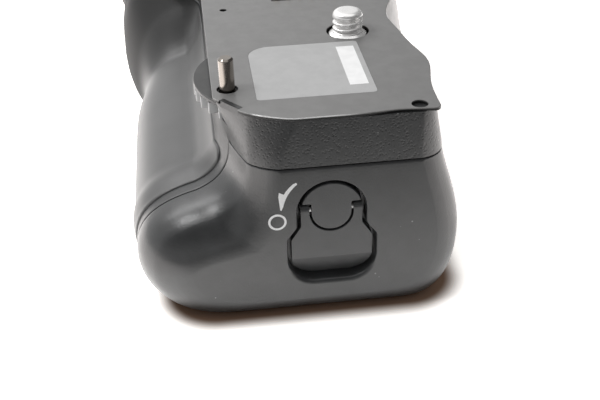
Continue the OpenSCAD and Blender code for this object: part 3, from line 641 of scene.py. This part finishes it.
PLATE_HOLE, FAR_HOLE = (36.0, 7.3), (-16.4, -25.2)
THUMB_FACE = wall_back(THUMB_X[0]) + 1.6
BASE_AT, BASE_L, BASE_W = (-34.0, -12.0), 108.0, 38.0
BASE_SCREWS = [(BASE_AT[0] + sx * (BASE_L / 2 - 6), BASE_AT[1] + sy * (BASE_W / 2 - 5))
               for sx in (-1, 1) for sy in (-1, 1)]


def on_shutter(piece):
    return moved(piece, SHUTTER_AT, TO_SHUTTER)


housing = lofted("housing_shell", along_x(body_places, housing_section))
joined(housing, on_shutter(cylinder("shutter_boss", 10.2, 0, SHUTTER_SEAT + 0.8)),
       slab("corner_rib", corner_rib(0), TOP_Z - 0.6, SEAT_H - 0.02), operation="UNION")
cutters = [
    block("cap_room", (CAP_X, -100, -1), (END_X + 1, 100, SEAM_Z + SEAM_GAP)),
    block("chamber", (-98.45, CHAMBER_Y - 20.35, 6.4), (CAP_X + 1, CHAMBER_Y + 20.35, CHAMBER_TOP)),
    block("bolt_slot", (19.3, LATCH_Y - 3, CHAMBER_TOP - 1), (CAP_X + 1, LATCH_Y + 3, 28.8)),
    moved(cylinder("wheel_room", WHEEL_R + 0.4, GEAR_FLOOR, TOP_Z + 1, 128), (*WHEEL_AT, 0)),
    cylinder("gear_room", 7.79, GEAR_FLOOR, TOP_Z + 1),
    cylinder("bush_room", 4.6, GEAR_FLOOR - 6, GEAR_FLOOR + 0.5),
    moved(cylinder("axle_hole", 2, GEAR_FLOOR - 4, GEAR_FLOOR + 0.5), (*WHEEL_AT, 0)),
    block("board_room", (-88, -19.1, 35.5), (-18.5, 7.3, SEAT_H)),
    block("wire_room", (-86, -16.9, 27.65), (-20.5, 5.1, 36)),
    slab("base_room", round_rect(BASE_L, BASE_W, 4, BASE_AT), -1, 1.6),
    cylinder("socket_room", 5.2, -1, 5.2),
    on_shutter(cylinder("ring_room", 9.0, SHUTTER_SEAT, 25)),
    on_shutter(cylinder("collar_room", 6.5, SHUTTER_SEAT - 4, 25)),
    on_shutter(cylinder("switch_room", 6, SHUTTER_SEAT - 8, 25)),
    moved(cylinder("dial_room", 6, -4.4, 4.4), DIAL_AT),
]
cutters += [moved(cylinder("base_screw_hole", 1, -1, 4.6, 32), (*p, 0)) for p in BASE_SCREWS]
cutters += [moved(cylinder("far_hole", 0.8, TOP_Z - 1, TOP_Z + 1, 32), (*FAR_HOLE, 0))]
for x in THUMB_X:
    cutters += [moved(cylinder("thumb_hole", 3.65, 0, THUMB_FACE + 1), (x, 0, THUMB_Z), TO_REAR),
                moved(cylinder("thumb_room", 4.7, 0, THUMB_FACE - 4), (x, 0, THUMB_Z), TO_REAR)]
joined(housing, *cutters)
placed(housing, "grip_body", plastic, "black_plastic", "housing", angle=28)


# End cap with its latch recess
def cap_section(x):
    """The cap's outline, rounded along its top edges, its seam and the edge of its end face."""
    top = SEAM_Z - arc_in(x - (FACE_X - FACE_R), FACE_R)
    seam = arc_in(CAP_BACK + SEAM_R - x, SEAM_R)
    w, wb, r = wall_edge(x), wall_back(x), CAP_EDGE_R
    ring = [(y, min(z, top - r)) for y, z in front_side(x)]
    ring += [(-w + r - r * math.cos(a), top - r + r * math.sin(a)) for a in QUARTER]
    ring += [(wb - r + r * math.sin(a), top - r + r * math.cos(a)) for a in QUARTER]
    ring += [(y, min(z, top - r)) for y, z in rear_side(x)]
    return [drawn_in(y, z, seam) for y, z in ring]


def latch_outline(g):
    """The latch as seen from the end: the knob's arch, a neck and the wide tab, grown by a gap."""
    half = ring_points(KNOB_R + g, 90, 0, 5) + [(KNOB_R + g, -3.2), (TAB_W / 2 + g, -6.2 + 0.4 * g)]
    half += ring_points(4.6 + g, 0, -90, 7.5, (TAB_W / 2 - 4.6, 4.6 - TAB_REACH))
    return half + [(-u, v) for u, v in reversed(half)][:-1]


def recess_cutter():
    """The latch recess, which flares to a rounded lip at the end face."""
    gap, lip, deep = 0.7, 0.3, 0.8
    levels = [(RECESS_X, gap), (FACE_X - deep, gap)]
    levels += [(FACE_X - deep + deep * math.sin(a), gap + lip - lip * math.cos(a)) for a in QUARTER[1:]]
    levels.append((END_X + 0.5, gap + lip))
    rings = [[(x, LATCH_Y + u, LATCH_Z + v - 3 * (g - gap) * smooth((-v - 9) / 6))
              for u, v in softened(latch_outline(g), 0.9)] for x, g in levels]
    return lofted("latch_recess", rings)


cap_places = [CAP_BACK + d for d in (0, 0.04, 0.1, 0.2, 0.35)] + near_places[:-3] + [
    37.3, 37.47, 37.6, 37.72, 37.84, 37.93, FACE_X]
cap_places = sorted(set(round(x, 4) for x in cap_places))
cap = lofted("end_cap_shell", along_x(cap_places, cap_section))
cap_cutters = [recess_cutter(),
               moved(cylinder("knob_room", 6.1, RECESS_X - 2.4, RECESS_X + 1), (0, LATCH_Y, LATCH_Z), TO_END),
               moved(cylinder("bolt_hole", 2.55, CAP_X - 1, RECESS_X), (0, LATCH_Y, LATCH_Z), TO_END)]
cap_cutters += [moved(cylinder("cap_screw_hole", 1, CAP_X - 1, CAP_X + 7, 32),
                      (0, CHAMBER_Y + s * 13.5, 11.75), TO_END) for s in (-1, 1)]
joined(cap, *cap_cutters)
placed(cap, "battery_holder", cap_plastic, "black_plastic", "end_cap", angle=28)


# Seat plate
def plate_outline():
    lip = 0.3
    places = (end_places(FAR_R, FAR_X, 1) + spaced(FAR_X + FAR_R, RUBBER_NEAR, 60)[1:]
              + spaced(RUBBER_NEAR, 28, 6)[1:] + spaced(28, END_X - 5, 5)[1:]
              + [END_X - 5 * (1 - math.sin(math.radians(5 * i))) for i in range(1, 19)])
    front = [(x, -seat_edge(x) - lip) for x in places]
    rear = [(x, seat_back(x) + near_in(x, 3.5) - near_in(x, 1.2) + lip) for x in reversed(places)]
    near = [(END_X - 0.55 * bell((y - 3.5) / 4.5), y) for y in spaced(front[-1][1], rear[0][1], 24)[1:-1]]
    return front + near + rear


plate = slab("seat_plate", plate_outline(), TOP_Z, SEAT_H)


def label_shape():
    """Outline of the label, with one wide corner and three tight ones."""
    x0, x1, y0, y1 = 5.5, 29.8, -21.8, 0.9
    tight, wide = 0.8, 4.5
    return (ring_points(tight, 0, 90, 15, (x1 - tight, y1 - tight))
            + ring_points(tight, 90, 180, 15, (x0 + tight, y1 - tight))
            + ring_points(wide, 180, 270, 9, (x0 + wide, y0 + wide))
            + ring_points(tight, 270, 360, 15, (x1 - tight, y0 + tight)))


round_edges(plate, 0.14, 3)
joined(plate,
       cylinder("screw_hole", 4.5, TOP_Z - 1, SEAT_H + 1),
       moved(cylinder("pin_hole", PIN_R + 0.2, TOP_Z - 1, SEAT_H + 1, 64), (*PIN_AT, 0)),
       moved(cylinder("pin_sink", PIN_R + 0.6, SEAT_H - 0.4, SEAT_H + 1, 64), (*PIN_AT, 0)),
       moved(cylinder("near_hole", 1.55, TOP_Z - 1, SEAT_H + 1, 64), (*PLATE_HOLE, 0)),
       moved(cylinder("far_plate_hole", 0.8, TOP_Z - 1, SEAT_H + 1, 48), (*FAR_HOLE, 0)),
       slab("rib_notch", corner_rib(0.1), TOP_Z - 1, SEAT_H + 1),
       slab("label_sink", label_shape(), SEAT_H - 0.3, SEAT_H + 1),
       block("contact_hole", (-28.2, -14.1, TOP_Z - 1), (-19.8, 2.3, SEAT_H + 1)))
placed(plate, "grip_body", plate_paint, "plate_paint", "top_plate", angle=30)


# Rubber coverings
def refined(line):
    """A line with close points near its two ends, so that an edge can be rounded there."""
    def between(a, b, shares):
        return [tuple(p + (q - p) * t for p, q in zip(a, b)) for t in shares]
    return (between(line[0], line[1], (0, 0.06, 0.15, 0.3, 0.6)) + line[1:-1]
            + between(line[-2], line[-1], (0.4, 0.7, 0.85, 0.94, 1)))


def run_along(line):
    run = [0.0]
    for a, b in zip(line, line[1:]):
        run.append(run[-1] + math.dist(a, b))
    return run


def trimmed(line, inset):
    """The line without a length at both of its ends, drawn with as many points."""
    run = run_along(line)
    points, k = [], 0
    for r in run:
        goal = inset + r * (run[-1] - 2 * inset) / run[-1]
        while k < len(run) - 2 and run[k + 1] < goal:
            k += 1
        t = (goal - run[k]) / (run[k + 1] - run[k])
        points.append(tuple(p + (q - p) * t for p, q in zip(line[k], line[k + 1])))
    return points


CORNER_R = 3.0


def covering(line, x, near, far, dish):
    """Ring of a rubber strip on an outline: its outer line, rounded at the edges, then back along the
    outline."""
    line = trimmed(refined(line), arc_in(CORNER_R - min(near - x, x - far), CORNER_R))
    run = run_along(line)
    outer = []
    for i, p in enumerate(line):
        a, b = Vector(line[max(0, i - 1)]), Vector(line[min(len(line) - 1, i + 1)])
        way = (b - a).normalized()
        d = min(run[i], run[-1] - run[i], near - x, x - far)
        full = RUBBER_T - 0.5 * (1 - smooth(d / 5))
        t = full * math.sqrt(max(0.004, 1 - (1 - min(1.0, d / 0.6)) ** 2))
        within = smooth((near - 6 - x) / 3) * smooth((x - far - 6) / 3)
        within *= smooth((run[i] - 5) / 3) * smooth((run[-1] - run[i] - 5) / 3)
        t -= dish * within
        outer.append((p[0] - way.y * t, p[1] + way.x * t))
    return outer + line[::-1]


def strip_places(near, far, count):
    ends = (0, 0.04, 0.12, 0.25, 0.45, 0.7, 1.0, 1.4, 1.8, 2.4)
    return [far + d for d in ends] + spaced(far + 3, near - 3, count) + [near - d for d in reversed(ends)]


grip_rubber = lofted("grip_covering", [
    [(x, y, z) for y, z in covering((front_side(x) + [(-wall_edge(x), SEAM_Z)])[7:40], x, RUBBER_NEAR,
                                    RUBBER_FAR, 0.3)] for x in strip_places(RUBBER_NEAR, RUBBER_FAR, 70)])
placed(grip_rubber, "grip_body", rubber, "soft_rubber", "grip_rubber", angle=50)
THUMB_PLACES = (-54.0, -87.57)
thumb_rubber = lofted("thumb_covering", [
    [(x, y, z) for y, z in covering(rear_side(x)[9:22], x, *THUMB_PLACES, 0.0)]
    for x in strip_places(*THUMB_PLACES, 24)])
placed(thumb_rubber, "grip_body", rubber, "soft_rubber", "thumb_rubber", angle=50)

# Latch
NOTCH, DISC_DROP = TAB_T / 2 + 0.5, -0.4
lean = math.degrees(math.asin(NOTCH / KNOB_R))
knob_face = (ring_points(KNOB_R, lean, 180 - lean, 5) + [(-DISC_R, NOTCH)]
             + ring_points(DISC_R, 180, 360, 6, (0, DISC_DROP)) + [(DISC_R, NOTCH)])
knob = slab("latch_knob_face", softened(knob_face, 0.45), RECESS_X - 0.1, LATCH_FACE, "YZ")
round_edges(knob, 0.22, 3, 50)
joined(knob, moved(cylinder("knob_base", KNOB_R, RECESS_X - 2.2, RECESS_X), (0, LATCH_Y, LATCH_Z), TO_END),
       operation="UNION")


def hinge_rod(name, r, low, high):
    return moved(cylinder(name, r, low, high, 48), (HINGE_X, LATCH_Y, LATCH_Z), TO_REAR)


joined(knob, hinge_rod("pin_bore", 0.6, -7, 7))
placed(knob, "battery_holder", latch_plastic, "black_plastic", "latch_knob")

CUT_R = DISC_R + 0.4
half_tab = [(KNOB_R, 0), (KNOB_R, -3.2), (TAB_W / 2, -6.2)]
half_tab += ring_points(4.6, 0, -90, 7.5, (TAB_W / 2 - 4.6, 4.6 - TAB_REACH))
tab_face = half_tab + [(-u, v) for u, v in reversed(half_tab)] + [(-CUT_R, 0)] + ring_points(
    CUT_R, 180, 360, 5, (0, DISC_DROP)) + [(CUT_R, 0)]
tab = slab("latch_tab_plate", softened(tab_face, 0.7), LATCH_FACE - TAB_T, LATCH_FACE, "YZ")
edit(tab, select="SELECT")
slope = math.radians(22)
bpy.ops.mesh.bisect(plane_co=(LATCH_FACE * MM, 0, (LATCH_Z - 10.4) * MM),
                    plane_no=(math.cos(slope), 0, -math.sin(slope)), use_fill=True, clear_outer=True)
settled(tab)
round_edges(tab, 0.2, 3, 18)
for low, high in ((CUT_R, KNOB_R), (-KNOB_R, -CUT_R)):
    joined(tab, hinge_rod("tab_knuckle", TAB_T / 2, low, high), operation="UNION")
joined(tab, hinge_rod("tab_bore", 0.65, -7, 7))
placed(tab, "latch_tab", latch_plastic, "black_plastic", "latch_tab")

# Printed marks on the cap
def mark(name, outline):
    """A thin painted mark on the end face, drawn in the plane of y and z."""
    piece = slab(name, [(u - LATCH_Y, v - LATCH_Z) for u, v in outline], FACE_X - 0.05, END_X - 0.005, "YZ")
    return placed(piece, "battery_holder", mark_paint, "strip_white")


ARROW_TIP = (-18.76, 24.9)
arrow = (curve((-15.72, 30.28), (-17.0, 29.2), (-18.15, 27.6), (-18.5, 25.05), 10) + [ARROW_TIP]
         + curve((-18.98, 25.05), (-19.1, 26.5), (-19.2, 27.6), (-19.33, 28.75), 4)
         + [(-19.1, 28.83), (-18.25, 28.4)]
         + curve((-18.2, 28.36), (-17.6, 29.4), (-16.9, 30.1), (-16.15, 30.72), 8)
         + [(-15.85, 30.7), (-15.68, 30.48)])
mark("turn_arrow", arrow)
RING_AT, RING_R, RING_HOLE_R = (-19.6, 22.4), 1.75, 1.32
ring_band = mark("ring_mark", ring_points(RING_R, 0, 352, 8, RING_AT))
ring_hole = cylinder("ring_mark_hole", RING_HOLE_R, END_X - 1, END_X + 1, 48)
joined(ring_band, moved(ring_hole, (0, *RING_AT), TO_END))


# Wheel, screw and guide pin
to_screw = math.degrees(math.atan2(-WHEEL_AT[1], -WHEEL_AT[0]))
wheel = slab("finger_wheel", gear_outline(WHEEL_TEETH, to_screw), GEAR_LOW, GEAR_TOP - 0.4)
round_edges(wheel, 0.16, 2, 25)
BORE_R, RIM_LOW = 2.05, GEAR_TOP - 0.8
rim_line = [(BORE_R, RIM_LOW), (WHEEL_R, RIM_LOW), (WHEEL_R, GEAR_TOP), (BORE_R, GEAR_TOP)]
rim = turned("wheel_rim", rounded_profile(rim_line, 0.25), 144)
joined(wheel, cylinder("wheel_bore", BORE_R, GEAR_LOW - 1, GEAR_TOP + 1))
joined(wheel, rim, operation="UNION")
moved(wheel, (*WHEEL_AT, 0))
placed(wheel, "attachment_wheel", wheel_finish, "black_plastic", "attachment_wheel")

THREAD_PITCH, THREAD_DEPTH, SCREW_R = 1.27, 0.62, 3.175


def thread_dip(z, turn, low, high):
    """How far a thread's flank lies below its crest, fading at both ends of the thread."""
    wave = abs(((z / THREAD_PITCH - turn) % 1.0) * 2 - 1)
    return THREAD_DEPTH * smooth((wave - 0.12) / 0.76) * smooth((z - low) / 0.5) * smooth((high - z) / 0.6)


def screw_ring(r, z, sides=96, threaded=False):
    ring = []
    for i in range(sides):
        a = 2 * math.pi * i / sides
        d = thread_dip(z, i / sides, SEAT_H + 0.1, SEAT_H + 3.7) if threaded else 0.0
        ring.append(((r - d) * math.cos(a), (r - d) * math.sin(a), z))
    return ring


TIP_Z, TIP_R = SEAT_H + 4.6, 1.2
screw_rings = [screw_ring(r, z) for r, z in (
    (2.0, 32.8), (2.4, 33.0), (2.4, GEAR_LOW), (3.0, GEAR_LOW), (3.0, 41.4), (4.0, 41.4), (4.0, SEAT_H - 0.5),
    (3.9, SEAT_H - 0.4), (3.3, SEAT_H - 0.1))]
screw_rings += [screw_ring(SCREW_R, z, threaded=True) for z in spaced(SEAT_H, TIP_Z - TIP_R, 60)]
screw_rings += [screw_ring(SCREW_R - TIP_R + TIP_R * math.cos(math.radians(a)),
                           TIP_Z - TIP_R + TIP_R * math.sin(math.radians(a))) for a in range(10, 91, 10)]
screw_rings += [screw_ring(r, TIP_Z) for r in (1.2, 0.3)]
screw = lofted("mounting_screw_turned", screw_rings)
placed(screw, "mounting_screw", screw_steel, "polished_steel", "mounting_screw", angle=50)

pin_line = rounded_profile([(PIN_FOOT_R, PIN_FOOT), (PIN_FOOT_R, TOP_Z), (PIN_R, TOP_Z),
                            (PIN_R, PIN_TOP - 0.35), (PIN_TIP_R, PIN_TOP)], 0.12)
pin = turned("guide_pin_turned", [(0, PIN_FOOT)] + pin_line + [(0, PIN_TOP)], 64)
moved(pin, (*PIN_AT, 0))
placed(pin, "grip_body", pin_nickel, "nickel", "guide_pin")

# Controls at the shutter end
S = SHUTTER_SEAT
FACE_T, DISH_R, DISH_DEPTH = S + 4.1, 4.3, 0.55
dish = [(DISH_R * k, FACE_T - DISH_DEPTH * (1 - k * k)) for k in (1 - i / 10 for i in range(1, 10))]
button_side = [(5.7, S - 5.2), (5.7, S - 4.2), (5, S - 4.2), (5, FACE_T - 0.7), (4.95, FACE_T - 0.4),
               (4.78, FACE_T - 0.16), (4.55, FACE_T - 0.03), (DISH_R, FACE_T)]
button = turned("shutter_button_turned",
                [(0, S - 5.2)] + button_side + dish + [(0, FACE_T - DISH_DEPTH)])
placed(on_shutter(button), "shutter_button", button_gloss, "button_plastic", "shutter_button")
collar = turned("shutter_collar_turned", rounded_profile(
    [(5.05, S - 4), (6.5, S - 4), (6.5, S + 2.4), (7.4, S + 2.4), (7.4, S + 3.2), (5.05, S + 3.2)], 0.22))
placed(on_shutter(collar), "grip_body", black_steel, "steel", "shutter_collar")
ring = turned("lock_ring_turned", rounded_profile(
    [(6.55, S + 0.2), (8.6, S + 0.2), (8.6, S + 2.2), (6.55, S + 2.2)], 0.3))
grip_nub = round_edges(block("ring_nub", (-10.6, -1.5, S + 1.2), (-7.6, 1.5, S + 3.2)), 0.35)
joined(ring, grip_nub, operation="UNION")
joined(ring, cylinder("ring_bore", 6.55, S, S + 6))
placed(on_shutter(ring), "lock_ring", latch_plastic, "button_plastic", "lock_ring")

DIAL_R, DIAL_RIBS, RIB_DEPTH, RIB_STEPS = 5.6, 36, 0.45, 8


def rib_point(i):
    """Point i of the dial's rim, whose ribs rise and fall in a wave."""
    a = 2 * math.pi * i / (DIAL_RIBS * RIB_STEPS)
    r = DIAL_R - RIB_DEPTH * (0.5 - 0.5 * math.cos(DIAL_RIBS * a))
    return r * math.cos(a), r * math.sin(a)


dial = slab("index_dial_ribbed", [rib_point(i) for i in range(DIAL_RIBS * RIB_STEPS)], -4, 4)
round_edges(dial, 0.3, 3, 60)
joined(dial, cylinder("dial_bore", 1.25, -5, 5, 48))
placed(moved(dial, DIAL_AT), "index_dial", latch_plastic, "button_plastic", "index_dial")

thumb_line = [(0, -6), (3.6, -6), (3.6, -5.4), (4.4, -5.4), (4.4, -4.4), (3.6, -4.4), (3.6, -0.6),
              (3.5, -0.3), (3.25, -0.12), (2.4, -0.04), (1.2, 0), (0, 0)]
for x, body in zip(THUMB_X, ("lock_button", "point_button")):
    thumb = turned(body + "_turned", [(r, THUMB_FACE + z) for r, z in thumb_line], 72)
    placed(moved(thumb, (x, 0, THUMB_Z), TO_REAR), body, button_gloss, "button_plastic", body)

# Base
base_outline = round_rect(BASE_L - 0.2, BASE_W - 0.2, 3.9, BASE_AT)
base = round_edges(slab("base_cover_plate", base_outline, 0, 1.6), 0.35, 3)
joined(base, cylinder("socket_gap", 5.25, -1, 3),
       *[moved(cylinder("screw_sink", 2.1, -1, 1.2, 48), (*p, 0)) for p in BASE_SCREWS],
       *[moved(cylinder("screw_pass", 1.2, -1, 3, 48), (*p, 0)) for p in BASE_SCREWS])
placed(base, "grip_body", plastic, "black_plastic", "base_cover")

head = turned("base_screw", [(0, 0.2)] + rounded_profile(
    [(1.9, 0.2), (1.9, 1.2), (1, 1.2), (1, 3.6)], 0.2) + [(0, 3.6)], 48)
joined(head, block("cross_slot_a", (-1.2, -0.22, -1), (1.2, 0.22, 0.75)),
       block("cross_slot_b", (-0.22, -1.2, -1), (0.22, 1.2, 0.75)))
screws = [moved(copied(head), (*p, 0)) for p in BASE_SCREWS]
bpy.data.objects.remove(head)
placed(fused("base_screws_turned", screws), "grip_body", black_steel, "steel", "base_screws")


def socket_ring(turn):
    """Cross-section of the tripod socket at one angle, with its inner thread."""
    a = 2 * math.pi * turn
    bore = [(2.6 + 0.45 * smooth((abs(((z / THREAD_PITCH - turn) % 1.0) * 2 - 1) - 0.1) / 0.8)
             * smooth(z / 0.5), z) for z in spaced(5.2, 0.5, 40)]
    line = bore + [(2.9, 0.15), (3.1, 0), (5.0, 0), (5.2, 0.2), (5.2, 5.2)]
    return [(r * math.cos(a), r * math.sin(a), z) for r, z in line]


socket = lofted("tripod_socket_threaded", [socket_ring(i / 72) for i in range(73)], round_trip=True)
placed(socket, "grip_body", dull_steel, "steel", "tripod_socket", angle=50)

# Battery packs
for name, node in (("pack_near", "battery_pack_1"), ("pack_far", "battery_pack_2")):
    low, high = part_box(node)
    middle = ((low[1] + high[1]) / 2 / MM, (low[2] + high[2]) / 2 / MM)
    outline = round_rect((high[1] - low[1]) / MM, (high[2] - low[2]) / MM, 2.0,
                         (middle[0] - LATCH_Y, middle[1] - LATCH_Z))
    pack = round_edges(slab(name, outline, low[0] / MM, high[0] / MM, "YZ"), 0.5, 3, 50)
    placed(pack, "battery_holder", pack_plastic, "pack_plastic", node)

# Solids that keep their shape
for node, finish in (("rating_label", label_film), ("serial_strip", strip_paper),
                     ("circuit_board", board_green), ("contact_block", inner_plastic),
                     ("signal_pins", gold), ("chamber_contacts", gold),
                     ("wheel_axle", dull_steel), ("screw_gear", brass), ("screw_bushing", brass),
                     ("battery_tray", inner_plastic), ("pack_terminals", gold), ("cap_screws", black_steel),
                     ("latch_bolt", dull_steel), ("tab_pin", dull_steel), ("dial_axle", dull_steel),
                     ("button_switches", dull_steel)):
    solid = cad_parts[node]
    if solid.material_slots:
        for own in solid.material_slots:
            own.material = finish
    else:
        solid.data.materials.append(finish)

# Camera, floor and light
LENS_PX, PHOTO_PX, SENSOR, CAMERA_AT = 1009.4, 600, 36, (196.29, -32.54, 126.29)
yaw, pitch, roll = (math.radians(v) for v in (6.245, 31.958, -1.627))
ahead = Vector((-math.cos(yaw), math.sin(yaw), 0))
across = Vector((math.sin(yaw), math.cos(yaw), 0))
above = Vector((0, 0, 1))
look = ahead * math.cos(pitch) - above * math.sin(pitch)
tall = above * math.cos(pitch) + ahead * math.sin(pitch)
right = across * math.cos(roll) + tall * math.sin(roll)
up = tall * math.cos(roll) - across * math.sin(roll)
rest()
bpy.ops.object.camera_add()
camera = bpy.context.object
camera.name = "photo_camera"
camera.data.sensor_width = SENSOR
camera.data.lens = LENS_PX / PHOTO_PX * SENSOR
camera.data.clip_start = 0.01
camera.matrix_world = Matrix.Translation(Vector(CAMERA_AT) * MM) @ Matrix(
    (right, up, -look)).transposed().to_4x4()
bpy.context.scene.camera = camera

bpy.ops.mesh.primitive_plane_add(size=6, location=(-0.03, -0.01, -0.00005))
floor = started("floor")
white = bpy.data.materials.new("floor_white")
white.use_nodes = True
tree = white.node_tree
tree.nodes.remove(tree.nodes["Principled BSDF"])
seen = tree.nodes.new("ShaderNodeLightPath")
shown = reckon(tree, "MAXIMUM", reckon(tree, "MAXIMUM", seen.outputs["Is Camera Ray"],
                                       seen.outputs["Is Glossy Ray"]), seen.outputs["Is Transmission Ray"])
place = tree.nodes.new("ShaderNodeTexCoord").outputs["Object"]


def measured(operation, *values):
    node = tree.nodes.new("ShaderNodeVectorMath")
    node.operation = operation
    for i, value in enumerate(values):
        if isinstance(value, tuple):
            node.inputs[i].default_value = value
        else:
            tree.links.new(value, node.inputs[i])
    return node.outputs["Value" if operation in ("LENGTH", "DISTANCE") else "Vector"]


# Painted shadow: the sheet is darkened to brown close around the part. It ends on a dim table beyond the
# battery door
about = measured("SUBTRACT", measured("ABSOLUTE", measured("SUBTRACT", place, (-0.036, -0.0125, 0))),
                 (0.064, 0.019, 0))
clear = spread(tree, measured("LENGTH", measured("MAXIMUM", about, (0, 0, 0))), 0.009, 0.0145)
axes = axes_of(tree, place)
sheet = reckon(tree, "MAXIMUM", seen.outputs["Is Camera Ray"],
               spread(tree, axes["X"], 0.085, 0.125, 1.0, 0.0))
paper = tree.nodes.new("ShaderNodeBsdfDiffuse")
# Painted light: in reflections the floor is brighter just ahead of the battery door and to both sides of the
# part
aside = spread(tree, reckon(tree, "ABSOLUTE", reckon(tree, "ADD", axes["Y"], 0.012)), 0.035, 0.06)
ahead_of = blended(tree, spread(tree, axes["X"], 0.048, 0.085), (2.8, 2.75, 2.7, 1),
                   (1.3, 1.28, 1.25, 1))
reflected_painted_light = blended(tree, aside, ahead_of, (2.5, 2.4, 2.35, 1))
bright = blended(tree, seen.outputs["Is Glossy Ray"], (2.2, 2.14, 2.08, 1), reflected_painted_light)
# Painted shadow: brown where the sheet lies close around the part
white_sheet = blended(tree, shown, (0.88, 0.87, 0.86, 1),
                      blended(tree, clear, (0.18, 0.115, 0.08, 1), bright))
tree.links.new(blended(tree, sheet, (0.1, 0.1, 0.1, 1), white_sheet), paper.inputs["Color"])
glow = tree.nodes.new("ShaderNodeEmission")
mixer = tree.nodes.new("ShaderNodeMixShader")
far_off = spread(tree, measured("DISTANCE", place, (-0.03, -0.01, 0)), 0.16, 0.34)
tree.links.new(reckon(tree, "MULTIPLY", far_off, reckon(tree, "MULTIPLY", shown, sheet)), mixer.inputs[0])
tree.links.new(paper.outputs[0], mixer.inputs[1])
tree.links.new(glow.outputs[0], mixer.inputs[2])
tree.links.new(mixer.outputs[0], tree.nodes["Material Output"].inputs[0])
floor.data.materials.append(white)

world = bpy.data.worlds.new("studio")
bpy.context.scene.world = world
world.use_nodes = True
tree = world.node_tree
axes = axes_of(tree, tree.nodes.new("ShaderNodeTexCoord").outputs["Generated"])
# The room is white behind the part and on its left, and dim on the camera's side
sides = reckon(tree, "MULTIPLY", spread(tree, axes["X"], -0.3, 0.6, 0.85, 0.5),
               spread(tree, axes["Y"], -0.8, 0.8, 1.1, 0.75))
room = spread(tree, axes["Z"], 0.1, 0.95, sides, 0.8)
shade = spread(tree, axes["Z"], 0.14, 0.42, 0.85, 0.05)
dim = reckon(tree, "MULTIPLY", spread(tree, axes["X"], -0.05, 0.3, 1.0, shade),
             spread(tree, axes["Y"], 0.0, 0.4, 1.0, 0.15))
seen = tree.nodes.new("ShaderNodeLightPath")
bare = reckon(tree, "MAXIMUM", seen.outputs["Is Camera Ray"], seen.outputs["Is Transmission Ray"])
dim = reckon(tree, "MAXIMUM", dim, spread(tree, axes["Z"], 0.78, 0.92, 0.0, 1.1))
level = linked(tree, "ShaderNodeMix", {0: seen.outputs["Is Glossy Ray"], 2: room, 3: dim})
level = linked(tree, "ShaderNodeMix", {0: bare, 2: level, 3: 1.0})
tree.links.new(level, tree.nodes["Background"].inputs["Strength"])
tree.nodes["Background"].inputs["Color"].default_value = (1, 1, 1, 1)


def softbox(name, place, aim, size, power):
    rest()
    bpy.ops.object.light_add(type="AREA", location=place)
    lamp = bpy.context.object
    lamp.name = name
    lamp.data.shape = "RECTANGLE"
    lamp.data.size, lamp.data.size_y = size
    lamp.data.energy = power
    way = Vector(aim) - Vector(place)
    lamp.rotation_euler = way.to_track_quat("-Z", "Y").to_euler()


softbox("left_softbox", (0.02, -0.46, 0.64), (0.02, -0.03, 0.02), (0.26, 0.12), 1.5)
softbox("back_softbox", (-0.52, -0.5, 0.72), (-0.01, -0.03, 0.02), (0.5, 0.4), 2.4)

bpy.context.scene.view_settings.view_transform = "Standard"
rest()
